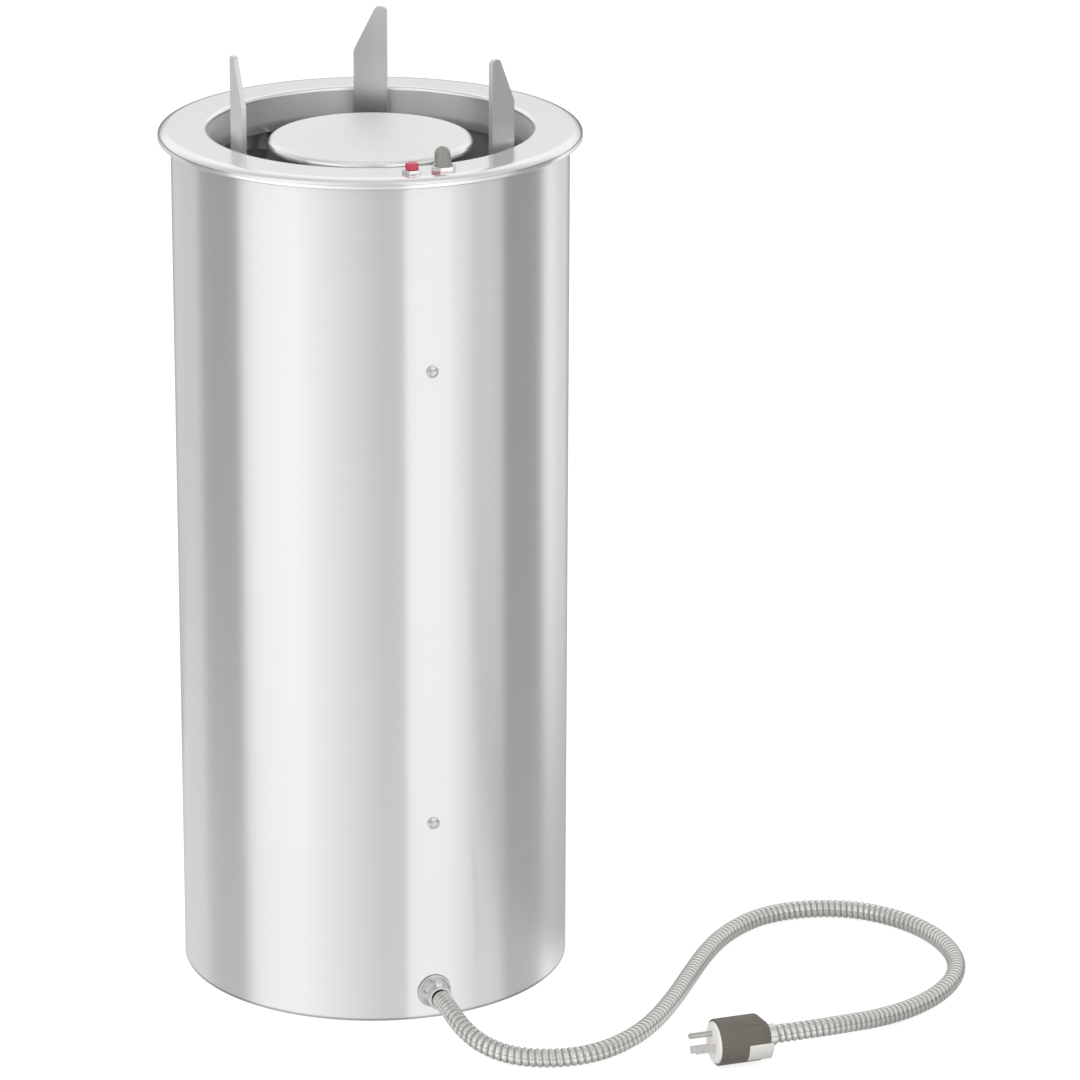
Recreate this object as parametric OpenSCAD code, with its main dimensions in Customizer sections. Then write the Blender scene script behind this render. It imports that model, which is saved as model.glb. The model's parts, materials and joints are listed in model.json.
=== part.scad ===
// Drop-in heated plate dispenser: a round insulated well with a spring-hung carrier that keeps the
// top plate of the stack level with the rim, three swinging guides and a flexible conduit lead.
// Frame: origin on the floor at the well's axis, +Z up, controls and lead at the front (-Y).

/* [Well] */
// Floor to the flat top of the flange
body_h = 730; // [640:5:860]
// Inner radius of the flange's opening
opening_r = 134; // [126:1:150]
// Step from the collar's inner face out to the liner's inner face
liner_step = 9; // [8.8:0.2:14]
// Width of the insulated cavity between liner and shroud
cavity_w = 19.5; // [18.5:0.5:30]
// Sheet of the inner liner
liner_t = 0.8; // [0.6:0.1:1.2]
// Sheet of the outer shroud
shroud_t = 1.2; // [0.8:0.1:1.6]
// Height of the wiring compartment under the well floor
compartment_h = 50; // [46:1:80]

/* [Flange] */
// How far the flange stands out past the shroud
flange_overhang = 10.5; // [8:0.5:18]
// Sheet of the flange
flange_t = 1.5; // [1:0.1:2]
// Depth of the turned-down outer lip
lip_drop = 8.5; // [6:0.5:14]
// Outer radius of the lip's rolled corner
lip_round = 4; // [3:0.5:5]
// Depth of the inner collar
collar_drop = 31; // [20:1:36]
// Outer radius of the rolled corner at the opening
collar_round = 3; // [2.5:0.5:4]

/* [Plate guides] */
// How far each guide's centre stands inside the opening
guide_inset = 10.8; // [10.4:0.2:14]
// Width of a guide's flat bar
guide_w = 28.4; // [24:0.2:32]
// Thickness of a guide's flat bar
guide_t = 4; // [3:0.5:5]
// Height of a guide's tip above the flange
guide_rise = 72; // [50:1:100]
// How much lower the bar's outer edge ends
guide_slant = 38; // [25:1:50]
// Turn of the bar's face out of the tangent, degrees
guide_twist = 9.7; // [6:0.1:12]
// Compass angle of the rear guide, degrees from +X
guide_az = 72.6; // [64:0.2:84]

/* [Carrier] */
// Radius of the plate disc
disc_r = 85; // [70:1:92]
// How far the disc's top rests below the flange
disc_sink = 9; // [4:1:20]
// Depth of the disc's turned-down rim
disc_rim = 16; // [12:1:24]
// Outer radius of the disc's rolled corner
disc_round = 6; // [4:0.5:8]
// Sheet of the disc
disc_t = 1.5; // [1:0.1:2]
// Length of a lift spring's coils at rest
spring_len = 150; // [120:5:180]
// Height of the rubber stops that end the carrier's travel
bumper_h = 22.7; // [12:0.1:60]
// Outer diameter of the carrier's post
post_d = 32; // [25:1:40]

/* [Controls] */
// Half the spacing of lamp and toggle across the flange
control_half = 13.2; // [12.5:0.1:18]
// Diameter of the toggle's threaded bushing
bushing_d = 12; // [11:0.2:12.4]
// Height of the rubber boot's tip above the flange
boot_rise = 22.5; // [20:0.5:26]
// Diameter of the rubber boot
boot_d = 12.8; // [12:0.2:13.2]
// Tilt of the lever at each end of its throw, degrees
lever_tilt = 12; // [8:1:13]
// Diameter of the red lens
lens_d = 11; // [9:0.5:12]
// Height of the red lens above its bezel
lens_h = 7.6; // [5:0.2:10]

/* [Lead] */
// Outer diameter of the conduit over its ribs
conduit_d = 15.5; // [14:0.5:16.5]
// Number of ribs along the conduit
conduit_ribs = 182; // [120:1:200]
// Height of the connector's axis above the floor
connector_z = 24.4; // [23:0.2:26]
// Diameter of the plug's shell
plug_d = 39; // [36:0.5:40]
// Length of the plug's shell
plug_len = 46; // [40:1:50]

/* [Hidden] */

// Overrun of every cut, running clearance of every shaft, and gap where a piece rests on another
over = 1;
shaft_gap = 0.08;
seat_gap = 0.3;
fit_gap = 0.5;
FN_LARGE = 96;
FN_SMALL = 36;
GUIDES = 3;

// Radii of the shells, from the opening outwards
liner_r = opening_r + liner_step;
liner_out = liner_r + liner_t;
shroud_in = liner_out + cavity_w;
shroud_r = shroud_in + shroud_t;
flange_r = shroud_r + flange_overhang;
flange_under = body_h - flange_t;
collar_end = body_h - collar_drop;
liner_foot_w = 2.5;
seam_w = 16;
seam_t = 0.8;

// Base and well floor
pan_t = 1.5;
bead_r = 70;
bead_w = 12;
bead_h = 3;
ring_leg = 14;
ring_rise = 4;
ring_t = 2;
base_screw_count = 6;
base_screw_d = 4;
base_head_d = 8;
base_head_h = 1;
base_screw_len = 8;
floor_t = 1.5;
floor_rim = 10;
floor_top = compartment_h;
floor_under = floor_top - floor_t;
floor_r = shroud_in - shaft_gap;

// Heating element, its clips and its thermostat
element_d = 8;
element_r = 88;
element_half_gap = 16;
element_lift = 16;
element_z = floor_top + element_lift;
element_leg_drop = 12;
clip_w = 12;
clip_t = 1.5;
clip_post_w = 5;
clip_step = 110;
stat_d = 18;
stat_h = 9;
stat_ear_w = 32;
stat_ear_d = 12;
stat_ear_t = 1.2;
stat_tab_h = 8;
stat_tab_w = 6.3;
stat_tab_t = 0.8;
stat_y = -52;

// Terminal block and leads
block_w = 46;
block_d = 22;
block_h = 18;
block_wall = 1.6;
block_gap = 42;
block_poles = 3;
block_screw_d = 7;
block_screw_h = 2;
pole_pitch = block_w / block_poles;
block_top = pan_t + block_h / 2;
pole_top = block_top + block_screw_h;
block_y = -shroud_in + block_gap;
block_mid_y = block_y + block_d / 2;
lead_d = 3;
lead_bend = 4;
lead_rise = 7;
lead_spread = 4;
lead_clear = 2;
pole_back_share = 0.75;

// Raceway from the wiring compartment up to the controls
raceway_span = 13;
raceway_flange = 4;
raceway_t = 1.2;
raceway_foot = 1;
raceway_top_gap = 42;
raceway_low = floor_top + raceway_foot;
raceway_high = body_h - raceway_top_gap;
slot_inset = 3;
screw_low_z = 175;
screw_high_z = 566;
screw_d = 5;
screw_head_d = 10;
screw_head_h = 2.6;
screw_len = 8;

// Guide rods with their brackets and springs
rod_d = 8;
stud_d = 5;
rod_wall_gap = 8.7;
rod_r = liner_r - rod_wall_gap;
rod_offset = 39.5;
rod_az = guide_az + rod_offset;
stud_above = 12;
bracket_turn = 51.3;
bracket_t = 2;
bracket_lip = 8;
bracket_drop = 14;
bracket_under = collar_end - bracket_drop - bracket_lip;
bracket_front = 6.5;
bracket_tail = 4.2;
bracket_back = 16;
bracket_reach = 40;
rod_nut_af = 8;
rod_nut_h = 4;
foot_nut_af = 13;
foot_nut_h = 5;
foot_stub = 9;
wire_d = 2;
spring_id = 11;
spring_od = spring_id + 2 * wire_d;
plug_flange_t = 2;
plug_spigot_h = 10;
plug_spigot_d = spring_id - 2 * shaft_gap;
plug_bore_d = rod_d + 2 * seat_gap;
spring_top = bracket_under - plug_flange_t;
spring_low = spring_top - spring_len;
bumper_d = 14;

// Carrier
spider_t = 4;
spider_top = spring_low - plug_flange_t;
spider_hub_r = 34;
arm_root_w = 26;
arm_end_r = 8.4;
lighten_d = 11;
lighten_shares = [0.42, 0.58, 0.74];
bush_d = 12;
bush_h = 20;
bush_flange_d = 14.4;
bush_flange_t = 2;
travel = spider_top - bush_h - bumper_h - floor_top - seat_gap;
post_t = 1.6;
post_foot_r = 30;
post_foot_t = 3;
disc_top = body_h - disc_sink;
disc_under = disc_top - disc_t;
hub_plate_r = 40;
hub_plate_t = 3;
hub_socket_t = 3;
hub_socket_h = 22;
foot_screw_count = 4;
foot_screw_d = 5;
foot_head_d = 9;
foot_head_h = 3;
foot_screw_r = 24.5;

// Swinging guides: each bar hangs on two arms from a pivot rod beyond its outer edge
guide_r = opening_r - guide_inset;
guide_foot = 2;
guide_low = floor_top + guide_foot;
guide_high = body_h + guide_rise;
tip_flat_share = 0.33;
tip_round = 4.5;
heel_round = 10;
pivot_reach = 8;
pivot_stand = 1;
pivot_d = 6;
pivot_stud_d = 5;
pivot_hub_r = 7.4;
arm_bush_d = 9;
arm_lip_d = 11;
arm_lip_t = 1;
arm_t = 6;
arm_w = 6;
arm_grip = 20;
arm_top_gap = 32;
arm_low_z = floor_top + seat_gap + arm_lip_t;
arm_high_z = collar_end - arm_top_gap;
pivot_u = guide_w / 2 + pivot_reach;
pivot_n = guide_t / 2 + pivot_stand;
tab_t = 2;
tab_half = 6.5;
ear_r = 7;
tab_leg = 22;
tab_under = arm_high_z + arm_t + arm_lip_t + seat_gap;
pivot_nut_af = 8;
pivot_nut_h = 4;

// Controls in the flange
control_shift = 1;
control_r = liner_out + cavity_w / 2 + control_shift;
control_y = -sqrt(control_r * control_r - control_half * control_half);
switch_w = 18;
switch_depth = 13;
switch_h = 24;
switch_seat = 3.5;
switch_bore_d = 8.6;
tab_blade_h = 7;
tab_blade_w = 5;
tab_blade_t = 1;
bushing_top = 3.2;
lock_nut_af = 15;
lock_nut_h = 2;
boot_nut_af = 18;
boot_nut_h = 4;
boot_dish_r = 8.1;
boot_dish_h = 1.3;
boot_sphere_r = 9.4;
lever_d = 4.6;
lever_pin_d = 1.6;
lever_pin_len = 8;
lever_drop = 2;
lever_cap = 4;
lever_z = body_h - lever_drop;
lever_len = boot_rise + lever_drop - lever_cap;
bezel_af = 15;
bezel_h = 3;
lamp_hole_d = 8.6;
lamp_flange_t = 1.6;
lamp_flange_d = 11;
lamp_body_len = 26;
lamp_tab_half = 2.2;
lens_round = 2;

// Conduit connector
knockout_d = 21;
stem_d = 20.4;
stem_bore_d = 12.5;
stem_in = 8;
washer_d = 29;
washer_t = 2;
washer_round = 0.8;
body_d = 25.6;
body_len = 9;
body_taper = 5;
body_round = 8;
neck_round = 3;
throat_d = 20.5;
throat_h = 8;
throat_round = 0.8;
locknut_af = 26;
locknut_h = 3;
locknut_seat = 1;
pinch_d = 4;
pinch_sink = 2.5;
pinch_head_d = 7;
pinch_head_h = 3;
connector_end = shroud_r + washer_t + body_len + throat_h;

// Plug, lying with its axis along X and rolled so that its blades stand one behind the other
plug_x = 189;
plug_y = -330;
plug_lift = 0.5;
plug_z = plug_d / 2 + plug_lift;
plug_roll = -20;
plug_chamfer = 9;
plug_back_d = 22;
plug_mouth = 3;
plug_mouth_wall = 2;
face_t = 4.5;
face_proud = 2;
face_round = 2;
face_d = plug_d - 2 * plug_mouth_wall;
ferrule_d = 18;
ferrule_len = 6;
blade_w = 6.35;
blade_t = 1.5;
blade_len = 17.5;
blade_half_gap = 6.35;
blade_hole_d = 3;
blade_hole_in = 5;
blade_shift = 4;
pin_d = 4.8;
pin_len = 20.5;
pin_offset = 11.9;

// Conduit: rib depth, bore, and the points that its free stretch passes, in order
rib_depth = 1;
bore_d = 10.4;
conduit_sides = 8;
bore_step = 2;
curve_steps = 8;
CONDUIT_FREE = [
    [0, -223, 22.9], [3, -240, 19.2], [10, -256, 14.6], [22, -271, 10.8], [38, -283, 8.8],
    [58, -291, 8.1], [79, -294.5, 8.1], [100, -292, 8.1], [122, -283, 8.1], [148, -265, 8.1],
    [174, -239, 8.1], [202, -204, 8.1], [228, -168, 8.1], [253, -134, 8.1], [278, -105, 8.1],
    [304, -83, 8.1], [330, -69, 8.1], [356, -64, 8.1], [381, -66, 8.1], [405, -74, 8.1],
    [426, -89, 8.1], [443, -111, 8.1], [455, -138, 8.1], [460, -168, 8.1], [458, -199, 8.1],
    [449, -227, 8.1], [433, -252, 8.1], [411, -273, 8.1], [386, -289, 8.4], [361, -302, 10.2],
    [336, -313, 13.2], [312, -321.5, 16.6], [288, -328, 19.2]
];
conduit_start = [0, -connector_end, connector_z];
conduit_end = [plug_x + plug_len + ferrule_len, plug_y, plug_z];
run = conduit_d;
CONDUIT_POINTS = concat(
    [for (k = [0, 1, 1.5]) conduit_start - [0, k * run, 0]],
    CONDUIT_FREE,
    [for (k = [1.5, 1, 0]) conduit_end + [k * run, 0, 0]]
);

// Unit vector, and an angle difference brought into the half turn either way
function unit(v) = v / norm(v);
function turn_of(a) = a > 180 ? a - 360 : a < -180 ? a + 360 : a;

// Arc that rounds the corner b between a and c, and a closed outline with a radius at each corner
function corner(a, b, c, r, n) =
    let (u = unit(a - b), v = unit(c - b), half = acos(u * v) / 2)
    let (centre = b + unit(u + v) * r / sin(half), reach = r / tan(half))
    let (p = b + u * reach - centre, q = b + v * reach - centre)
    let (start = atan2(p.y, p.x), turn = turn_of(atan2(q.y, q.x) - start))
    [for (i = [0:n]) centre + r * [cos(start + turn * i / n), sin(start + turn * i / n)]];
function rounded(points, radii, n = 5) =
    let (count = len(points))
    [for (i = [0:count - 1])
        each radii[i] > 0
            ? corner(points[(i + count - 1) % count], points[i], points[(i + 1) % count], radii[i], n)
            : [points[i]]];

// Smooth curve through a list of points, its running length, and the point at a given length
function curve_point(a, b, c, d, t) =
    (2 * b + (c - a) * t + (2 * a - 5 * b + 4 * c - d) * t * t + (3 * b - a - 3 * c + d) * t * t * t) / 2;
function curve(points, steps) =
    let (last = len(points) - 1)
    [for (i = [0:last - 1]) for (j = [0:steps - 1])
        curve_point(
            i == 0 ? 2 * points[0] - points[1] : points[i - 1],
            points[i],
            points[i + 1],
            i == last - 1 ? 2 * points[last] - points[last - 1] : points[i + 2],
            j / steps),
        points[last]];
function lengths(points) =
    [for (i = 0, s = 0; i < len(points);
        s = s + (i + 1 < len(points) ? norm(points[i + 1] - points[i]) : 0), i = i + 1) s];
function along(tables, s) = [lookup(s, tables[0]), lookup(s, tables[1]), lookup(s, tables[2])];

// Ring of points round a near-level path at one length
function path_ring(tables, s, total, r, sides) =
    let (step = over / 2, here = along(tables, s))
    let (t = unit(along(tables, min(s + step, total)) - along(tables, max(s - step, 0))))
    let (side = unit(cross(t, [0, 0, 1])), up = cross(side, t))
    [for (k = [0:sides - 1])
        here + r * (cos((k + 0.5) * 360 / sides) * side + sin((k + 0.5) * 360 / sides) * up)];

// Triangles between two rings of a tube; flip turns them for a bore
function band(a, b, sides, flip) =
    [for (k = [0:sides - 1]) let (m = (k + 1) % sides)
        each flip
            ? [[a + k, b + k, b + m], [a + k, b + m, a + m]]
            : [[a + k, b + m, b + k], [a + k, a + m, b + m]]];

// Points along an arc about the well's axis
function arc_points(r, a0, a1, n = 6) =
    [for (i = [0:n]) let (a = a0 + (a1 - a0) * i / n) r * [cos(a), sin(a)]];

module at_angle(a, r) {
    rotate([0, 0, a]) translate([r, 0, 0]) children();
}

module ring(r_out, r_in, z0, z1, fn = FN_LARGE) {
    translate([0, 0, z0]) difference() {
        cylinder(h = z1 - z0, r = r_out, $fn = fn);
        translate([0, 0, -over]) cylinder(h = z1 - z0 + 2 * over, r = r_in, $fn = fn);
    }
}

module rod(d, z0, z1) {
    translate([0, 0, z0]) cylinder(h = z1 - z0, d = d, $fn = FN_SMALL);
}

module hex_nut(af, bore, z0, z1) {
    translate([0, 0, z0]) difference() {
        cylinder(h = z1 - z0, r = af / sqrt(3), $fn = 6);
        translate([0, 0, -over]) cylinder(h = z1 - z0 + 2 * over, d = bore, $fn = FN_SMALL);
    }
}

// Part of a ring between two angles
module sector(r_in, r_out, a0, a1, z0, z1) {
    rotate([0, 0, a0]) rotate_extrude(angle = a1 - a0, $fn = FN_LARGE)
        translate([r_in, z0]) square([r_out - r_in, z1 - z0]);
}

// Cylinder along Y between two distances in front of the axis
module front_rod(d, near, far, z, fn = FN_SMALL) {
    translate([0, -near, z]) rotate([90, 0, 0]) cylinder(h = far - near, d = d, $fn = fn);
}

// Turn at each inner point of a flat path, and the path moved sideways by a distance
function bend_at(path, i) = cross(path[i] - path[i - 1], path[i + 1] - path[i]);
function beside(path, off) =
    let (last = len(path) - 1)
    let (normals = [for (i = [0:last - 1]) let (w = unit(path[i + 1] - path[i])) [-w.y, w.x]])
    [for (i = [0:last]) let (p = normals[max(i - 1, 0)], q = normals[min(i, last - 1)])
        path[i] + off * (p + q) / (1 + p * q)];
function bend_radii(path, side) =
    let (last = len(path) - 1)
    [for (i = [0:last]) i == 0 || i == last ? 0 : lead_bend - side * sign(bend_at(path, i)) * lead_d / 2];
function turned_round(list) = [for (i = [len(list) - 1:-1:0]) list[i]];

// Insulated lead in an upright plane between two places, through [distance from the first, height]
module lead(from, to, path) {
    way = to - from;
    left = beside(path, lead_d / 2);
    right = beside(path, -lead_d / 2);
    translate([from.x, from.y, 0]) rotate([90, 0, atan2(way.y, way.x)])
        linear_extrude(lead_d, center = true) polygon(rounded(
            concat(left, turned_round(right)),
            concat(bend_radii(path, 1), turned_round(bend_radii(path, -1)))));
}

// Places that repeat round the well
module guide_places() {
    for (i = [0:GUIDES - 1]) rotate([0, 0, guide_az + i * 360 / GUIDES]) children();
}

module rod_places() {
    for (i = [0:GUIDES - 1]) at_angle(rod_az + i * 360 / GUIDES, rod_r) children();
}

// Frame of a guide: X along the bar's width towards its outer edge, Y out of its outer face
module guide_frame() {
    translate([guide_r, 0, 0]) rotate([0, 0, 90 - guide_twist]) mirror([0, 1, 0]) children();
}

module pivot_places() {
    guide_places() guide_frame() translate([pivot_u, pivot_n, 0]) children();
}

module base_screw_places() {
    for (i = [0:base_screw_count - 1])
        at_angle(i * 360 / base_screw_count, shroud_in - ring_leg / 2) children();
}

// Shells

module outer_shroud() {
    half_seam = seam_w / 2 * 180 / (PI * shroud_r);
    color([0.80, 0.80, 0.79]) union() {
        difference() {
            ring(shroud_r, shroud_in, 0, flange_under);
            front_rod(knockout_d, shroud_in - over, shroud_r + over, connector_z);
            for (z = [screw_low_z, screw_high_z])
                front_rod(screw_d, shroud_in - over, shroud_r + over, z);
        }
        sector(shroud_r - shroud_t / 2, shroud_r + seam_t, 90 - half_seam, 90 + half_seam,
            0, body_h - lip_drop);
    }
}

module top_flange() {
    outline = [
        [opening_r, collar_end],
        [opening_r, body_h],
        [flange_r, body_h],
        [flange_r, body_h - lip_drop],
        [flange_r - flange_t, body_h - lip_drop],
        [flange_r - flange_t, flange_under],
        [opening_r + flange_t, flange_under],
        [opening_r + flange_t, collar_end]
    ];
    radii = [0, collar_round, lip_round, 0, 0, lip_round - flange_t, collar_round - flange_t, 0];
    color([0.90, 0.90, 0.89]) difference() {
        rotate_extrude($fn = FN_LARGE) polygon(rounded(outline, radii));
        translate([control_half, control_y, 0])
            rod(bushing_d + 2 * shaft_gap, flange_under - over, body_h + over);
        translate([-control_half, control_y, 0])
            rod(lamp_hole_d + 2 * shaft_gap, flange_under - over, body_h + over);
    }
}

module inner_liner() {
    color([0.55, 0.55, 0.53]) union() {
        ring(liner_out, liner_r, floor_top, flange_under);
        ring(liner_out + liner_foot_w, liner_out - liner_t / 2, floor_top, floor_top + liner_t);
    }
}

module insulation() {
    clear = raceway_span / 2 + raceway_flange + over;
    color([0.90, 0.85, 0.60])
        sector(liner_out + fit_gap, shroud_in - fit_gap, clear - 90, 270 - clear,
            floor_top + liner_t + seat_gap, flange_under - seat_gap);
}

module base_ring() {
    color([0.72, 0.72, 0.72]) difference() {
        union() {
            ring(shroud_in - shaft_gap, shroud_in - ring_t, pan_t, pan_t + ring_rise);
            ring(shroud_in - ring_t / 2, shroud_in - ring_leg, pan_t, pan_t + ring_t);
        }
        base_screw_places() rod(base_screw_d, pan_t - over, pan_t + ring_t + over);
    }
}

module base_pan() {
    color([0.70, 0.70, 0.70]) difference() {
        union() {
            cylinder(h = pan_t, r = shroud_in - fit_gap, $fn = FN_LARGE);
            ring(bead_r + bead_w / 2, bead_r - bead_w / 2, 0, pan_t + bead_h);
        }
        ring(bead_r + bead_w / 2 - pan_t, bead_r - bead_w / 2 + pan_t, -over, bead_h);
        base_screw_places() rod(base_screw_d + 2 * shaft_gap, -over, pan_t + over);
        base_screw_places() rod(base_head_d + 2 * shaft_gap, -over, base_head_h);
    }
}

module base_screws() {
    color([0.75, 0.75, 0.74]) base_screw_places() {
        rod(base_screw_d - 2 * shaft_gap, 0, base_screw_len);
        rod(base_head_d, 0, base_head_h);
    }
}

module well_floor() {
    slot = raceway_span / 2 - raceway_t;
    color([0.60, 0.60, 0.58]) difference() {
        union() {
            translate([0, 0, floor_under]) cylinder(h = floor_t, r = floor_r, $fn = FN_LARGE);
            ring(floor_r, floor_r - floor_t, floor_under - floor_rim, floor_under + floor_t / 2);
        }
        rod_places() rod(stud_d + 2 * shaft_gap, floor_under - over, floor_top + over);
        pivot_places() rod(pivot_stud_d + 2 * shaft_gap, floor_under - over, floor_top + over);
        element_ends() rod(element_d + 2 * shaft_gap, floor_under - over, floor_top + over);
        sector(liner_out + slot_inset, shroud_in - slot_inset, -90 - slot, -90 + slot,
            floor_under - over, floor_top + over);
    }
}

// Heat

module element_ends() {
    for (s = [-1, 1]) at_angle(-90 + s * element_half_gap, element_r) children();
}

module heating_element() {
    color([0.35, 0.33, 0.32]) union() {
        rotate([0, 0, element_half_gap - 90])
            rotate_extrude(angle = 360 - 2 * element_half_gap, $fn = FN_LARGE)
                translate([element_r, element_z]) circle(d = element_d, $fn = FN_SMALL);
        element_ends() {
            translate([0, 0, element_z]) sphere(d = element_d, $fn = FN_SMALL);
            rod(element_d, floor_under - element_leg_drop, element_z);
        }
    }
}

module element_clips() {
    color([0.78, 0.78, 0.76]) difference() {
        for (i = [-1:1]) at_angle(90 + i * clip_step, element_r) {
            translate([-clip_w / 2, -clip_w / 2, floor_top]) cube([clip_w, clip_w, clip_t]);
            translate([-clip_post_w / 2, -clip_w / 2, floor_top])
                cube([clip_post_w, clip_w, element_lift]);
        }
        rotate_extrude($fn = FN_LARGE) translate([element_r, element_z])
            circle(d = element_d + 2 * shaft_gap, $fn = FN_SMALL);
    }
}

module thermostat() {
    color([0.62, 0.60, 0.55]) translate([0, stat_y, 0]) union() {
        rod(stat_d, floor_under - stat_h, floor_under);
        translate([-stat_ear_w / 2, -stat_ear_d / 2, floor_under - stat_ear_t])
            cube([stat_ear_w, stat_ear_d, stat_ear_t]);
        for (s = [-1, 1])
            translate([s * stat_d / 4 - stat_tab_t / 2, -stat_tab_w / 2, floor_under - stat_h - stat_tab_h])
                cube([stat_tab_t, stat_tab_w, stat_tab_h + stat_h / 2]);
    }
}

// Wiring

module terminal_block() {
    wall_step = (block_w - block_wall) / block_poles;
    color([0.20, 0.20, 0.20]) translate([-block_w / 2, block_y, pan_t]) union() {
        cube([block_w, block_d, block_top - pan_t]);
        for (i = [0:block_poles])
            translate([i * wall_step, 0, 0]) cube([block_wall, block_d, block_h]);
        for (i = [0:block_poles - 1])
            translate([(i + 0.5) * pole_pitch, block_d / 2, 0])
                rod(block_screw_d, 0, block_h / 2 + block_screw_h);
    }
}

module supply_leads() {
    z = pole_top + lead_d / 2;
    first = -shroud_in + stem_in;
    color([0.15, 0.15, 0.15]) for (s = [-1:1]) {
        from = [s * lead_spread, first];
        to = [s * pole_pitch, block_mid_y];
        run_in = norm(to - from);
        lead(from, to, [[0, connector_z], [lead_rise, connector_z], [run_in - block_d / 2, z], [run_in, z]]);
    }
}

module element_leads() {
    x = element_r * sin(element_half_gap);
    y = -element_r * cos(element_half_gap);
    low = floor_under - element_leg_drop;
    under = low - lead_rise;
    tab_low = floor_under - stat_h - stat_tab_h;
    pole_y = block_y + block_d * pole_back_share;
    stat_run = norm([stat_d / 4 - x, stat_y - y]);
    pole_run = norm([stat_d / 4, stat_y - pole_y]);
    side_run = norm([x - pole_pitch, y - pole_y]);
    color([0.75, 0.20, 0.15]) {
        lead([-x, y], [-stat_d / 4, stat_y],
            [[0, low], [0, under - lead_rise], [stat_run, under - lead_rise], [stat_run, tab_low]]);
        lead([stat_d / 4, stat_y], [0, pole_y],
            [[0, tab_low], [0, under - lead_rise], [pole_run, under - lead_rise], [pole_run, block_top]]);
        lead([x, y], [pole_pitch, pole_y],
            [[0, low], [0, under], [side_run, under], [side_run, block_top]]);
    }
}

module riser_leads() {
    over_z = floor_under - lead_rise;
    tab_z = flange_under - switch_seat - switch_h - tab_blade_h - seat_gap;
    lamp_z = flange_under - lamp_body_len - seat_gap;
    near = block_y + block_d * pole_back_share;
    far = block_y + block_d * (1 - pole_back_share);
    lamp_end = [lamp_tab_half - control_half, control_y];
    tab_end = [control_half - switch_w / 4, control_y];
    lamp_from = [-pole_pitch - lead_d, near];
    tab_from = [pole_pitch - lead_d - lead_clear, far];
    color([0.85, 0.85, 0.82]) {
        lead(lamp_from, lamp_end, [[0, block_top], [0, over_z],
            [norm(lamp_end - lamp_from), over_z], [norm(lamp_end - lamp_from), lamp_z]]);
        lead(tab_from, tab_end, [[0, block_top], [0, over_z],
            [norm(tab_end - tab_from), over_z], [norm(tab_end - tab_from), tab_z]]);
    }
}

module wiring_raceway() {
    half = raceway_span / 2;
    wall = raceway_t * 180 / (PI * liner_out);
    foot_r = liner_out + shaft_gap;
    web_r = shroud_in - shaft_gap;
    color([0.66, 0.66, 0.65]) difference() {
        translate([0, 0, raceway_low]) linear_extrude(raceway_high - raceway_low) polygon(concat(
            arc_points(foot_r, -90 - half - raceway_flange, -90 - half + wall),
            arc_points(web_r - raceway_t, -90 - half + wall, -90 + half - wall),
            arc_points(foot_r, -90 + half - wall, -90 + half + raceway_flange),
            arc_points(foot_r + raceway_t, -90 + half + raceway_flange, -90 + half),
            arc_points(web_r, -90 + half, -90 - half),
            arc_points(foot_r + raceway_t, -90 - half, -90 - half - raceway_flange)));
        for (z = [screw_low_z, screw_high_z])
            front_rod(screw_d - 2 * shaft_gap, shroud_in - raceway_t - over, shroud_in + over, z);
    }
}

module raceway_screws() {
    color([0.85, 0.85, 0.84]) for (z = [screw_low_z, screw_high_z]) {
        front_rod(screw_d - 4 * shaft_gap, shroud_r - screw_len, shroud_r + screw_head_h / 2, z);
        translate([0, -shroud_r, z]) rotate([90, 0, 0]) intersection() {
            cylinder(h = screw_head_h, d = screw_head_d, $fn = FN_SMALL);
            translate([0, 0, screw_head_h - screw_head_d]) sphere(r = screw_head_d, $fn = FN_LARGE);
        }
    }
}

// Carrier suspension

module bracket_frame() {
    rod_places() rotate([0, 0, bracket_turn]) children();
}

module rod_brackets() {
    color([0.75, 0.75, 0.74]) difference() {
        intersection() {
            bracket_frame() {
                translate([-bracket_tail, bracket_front - bracket_back, bracket_under])
                    cube([bracket_reach, bracket_back, bracket_t]);
                translate([-bracket_tail, bracket_front - bracket_t, bracket_under])
                    cube([bracket_reach, bracket_t, bracket_lip]);
            }
            rod(2 * (liner_r - shaft_gap), bracket_under - over, collar_end);
        }
        rod_places() rod(stud_d + 2 * shaft_gap, bracket_under - over, bracket_under + bracket_lip);
    }
}

module guide_rods() {
    color([0.82, 0.82, 0.82]) rod_places() {
        rod(rod_d, floor_top, bracket_under);
        rod(stud_d, floor_under - foot_stub, floor_top + over);
        rod(stud_d, bracket_under - over, bracket_under + bracket_lip + stud_above);
    }
}

module rod_nuts() {
    color([0.78, 0.78, 0.77]) rod_places() {
        hex_nut(rod_nut_af, stud_d, bracket_under + bracket_t, bracket_under + bracket_t + rod_nut_h);
        hex_nut(foot_nut_af, stud_d, floor_under - foot_nut_h, floor_under);
    }
}

module lift_springs() {
    color([0.55, 0.55, 0.56]) rod_places()
        ring(spring_od / 2, spring_id / 2, spring_low, spring_top, FN_SMALL);
}

module spring_plug(flange_z, up) {
    spigot_z = up ? flange_z + plug_flange_t : flange_z - plug_spigot_h;
    difference() {
        union() {
            rod(spring_od - wire_d / 2, flange_z, flange_z + plug_flange_t);
            rod(plug_spigot_d, min(spigot_z, flange_z),
                max(spigot_z + plug_spigot_h, flange_z + plug_flange_t));
        }
        rod(plug_bore_d, flange_z - plug_spigot_h - over, flange_z + plug_flange_t + plug_spigot_h + over);
    }
}

module upper_spring_plugs() {
    color([0.70, 0.62, 0.35]) rod_places() spring_plug(spring_top, false);
}

module lower_spring_plugs() {
    color([0.70, 0.62, 0.35]) rod_places() spring_plug(spider_top, true);
}

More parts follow.
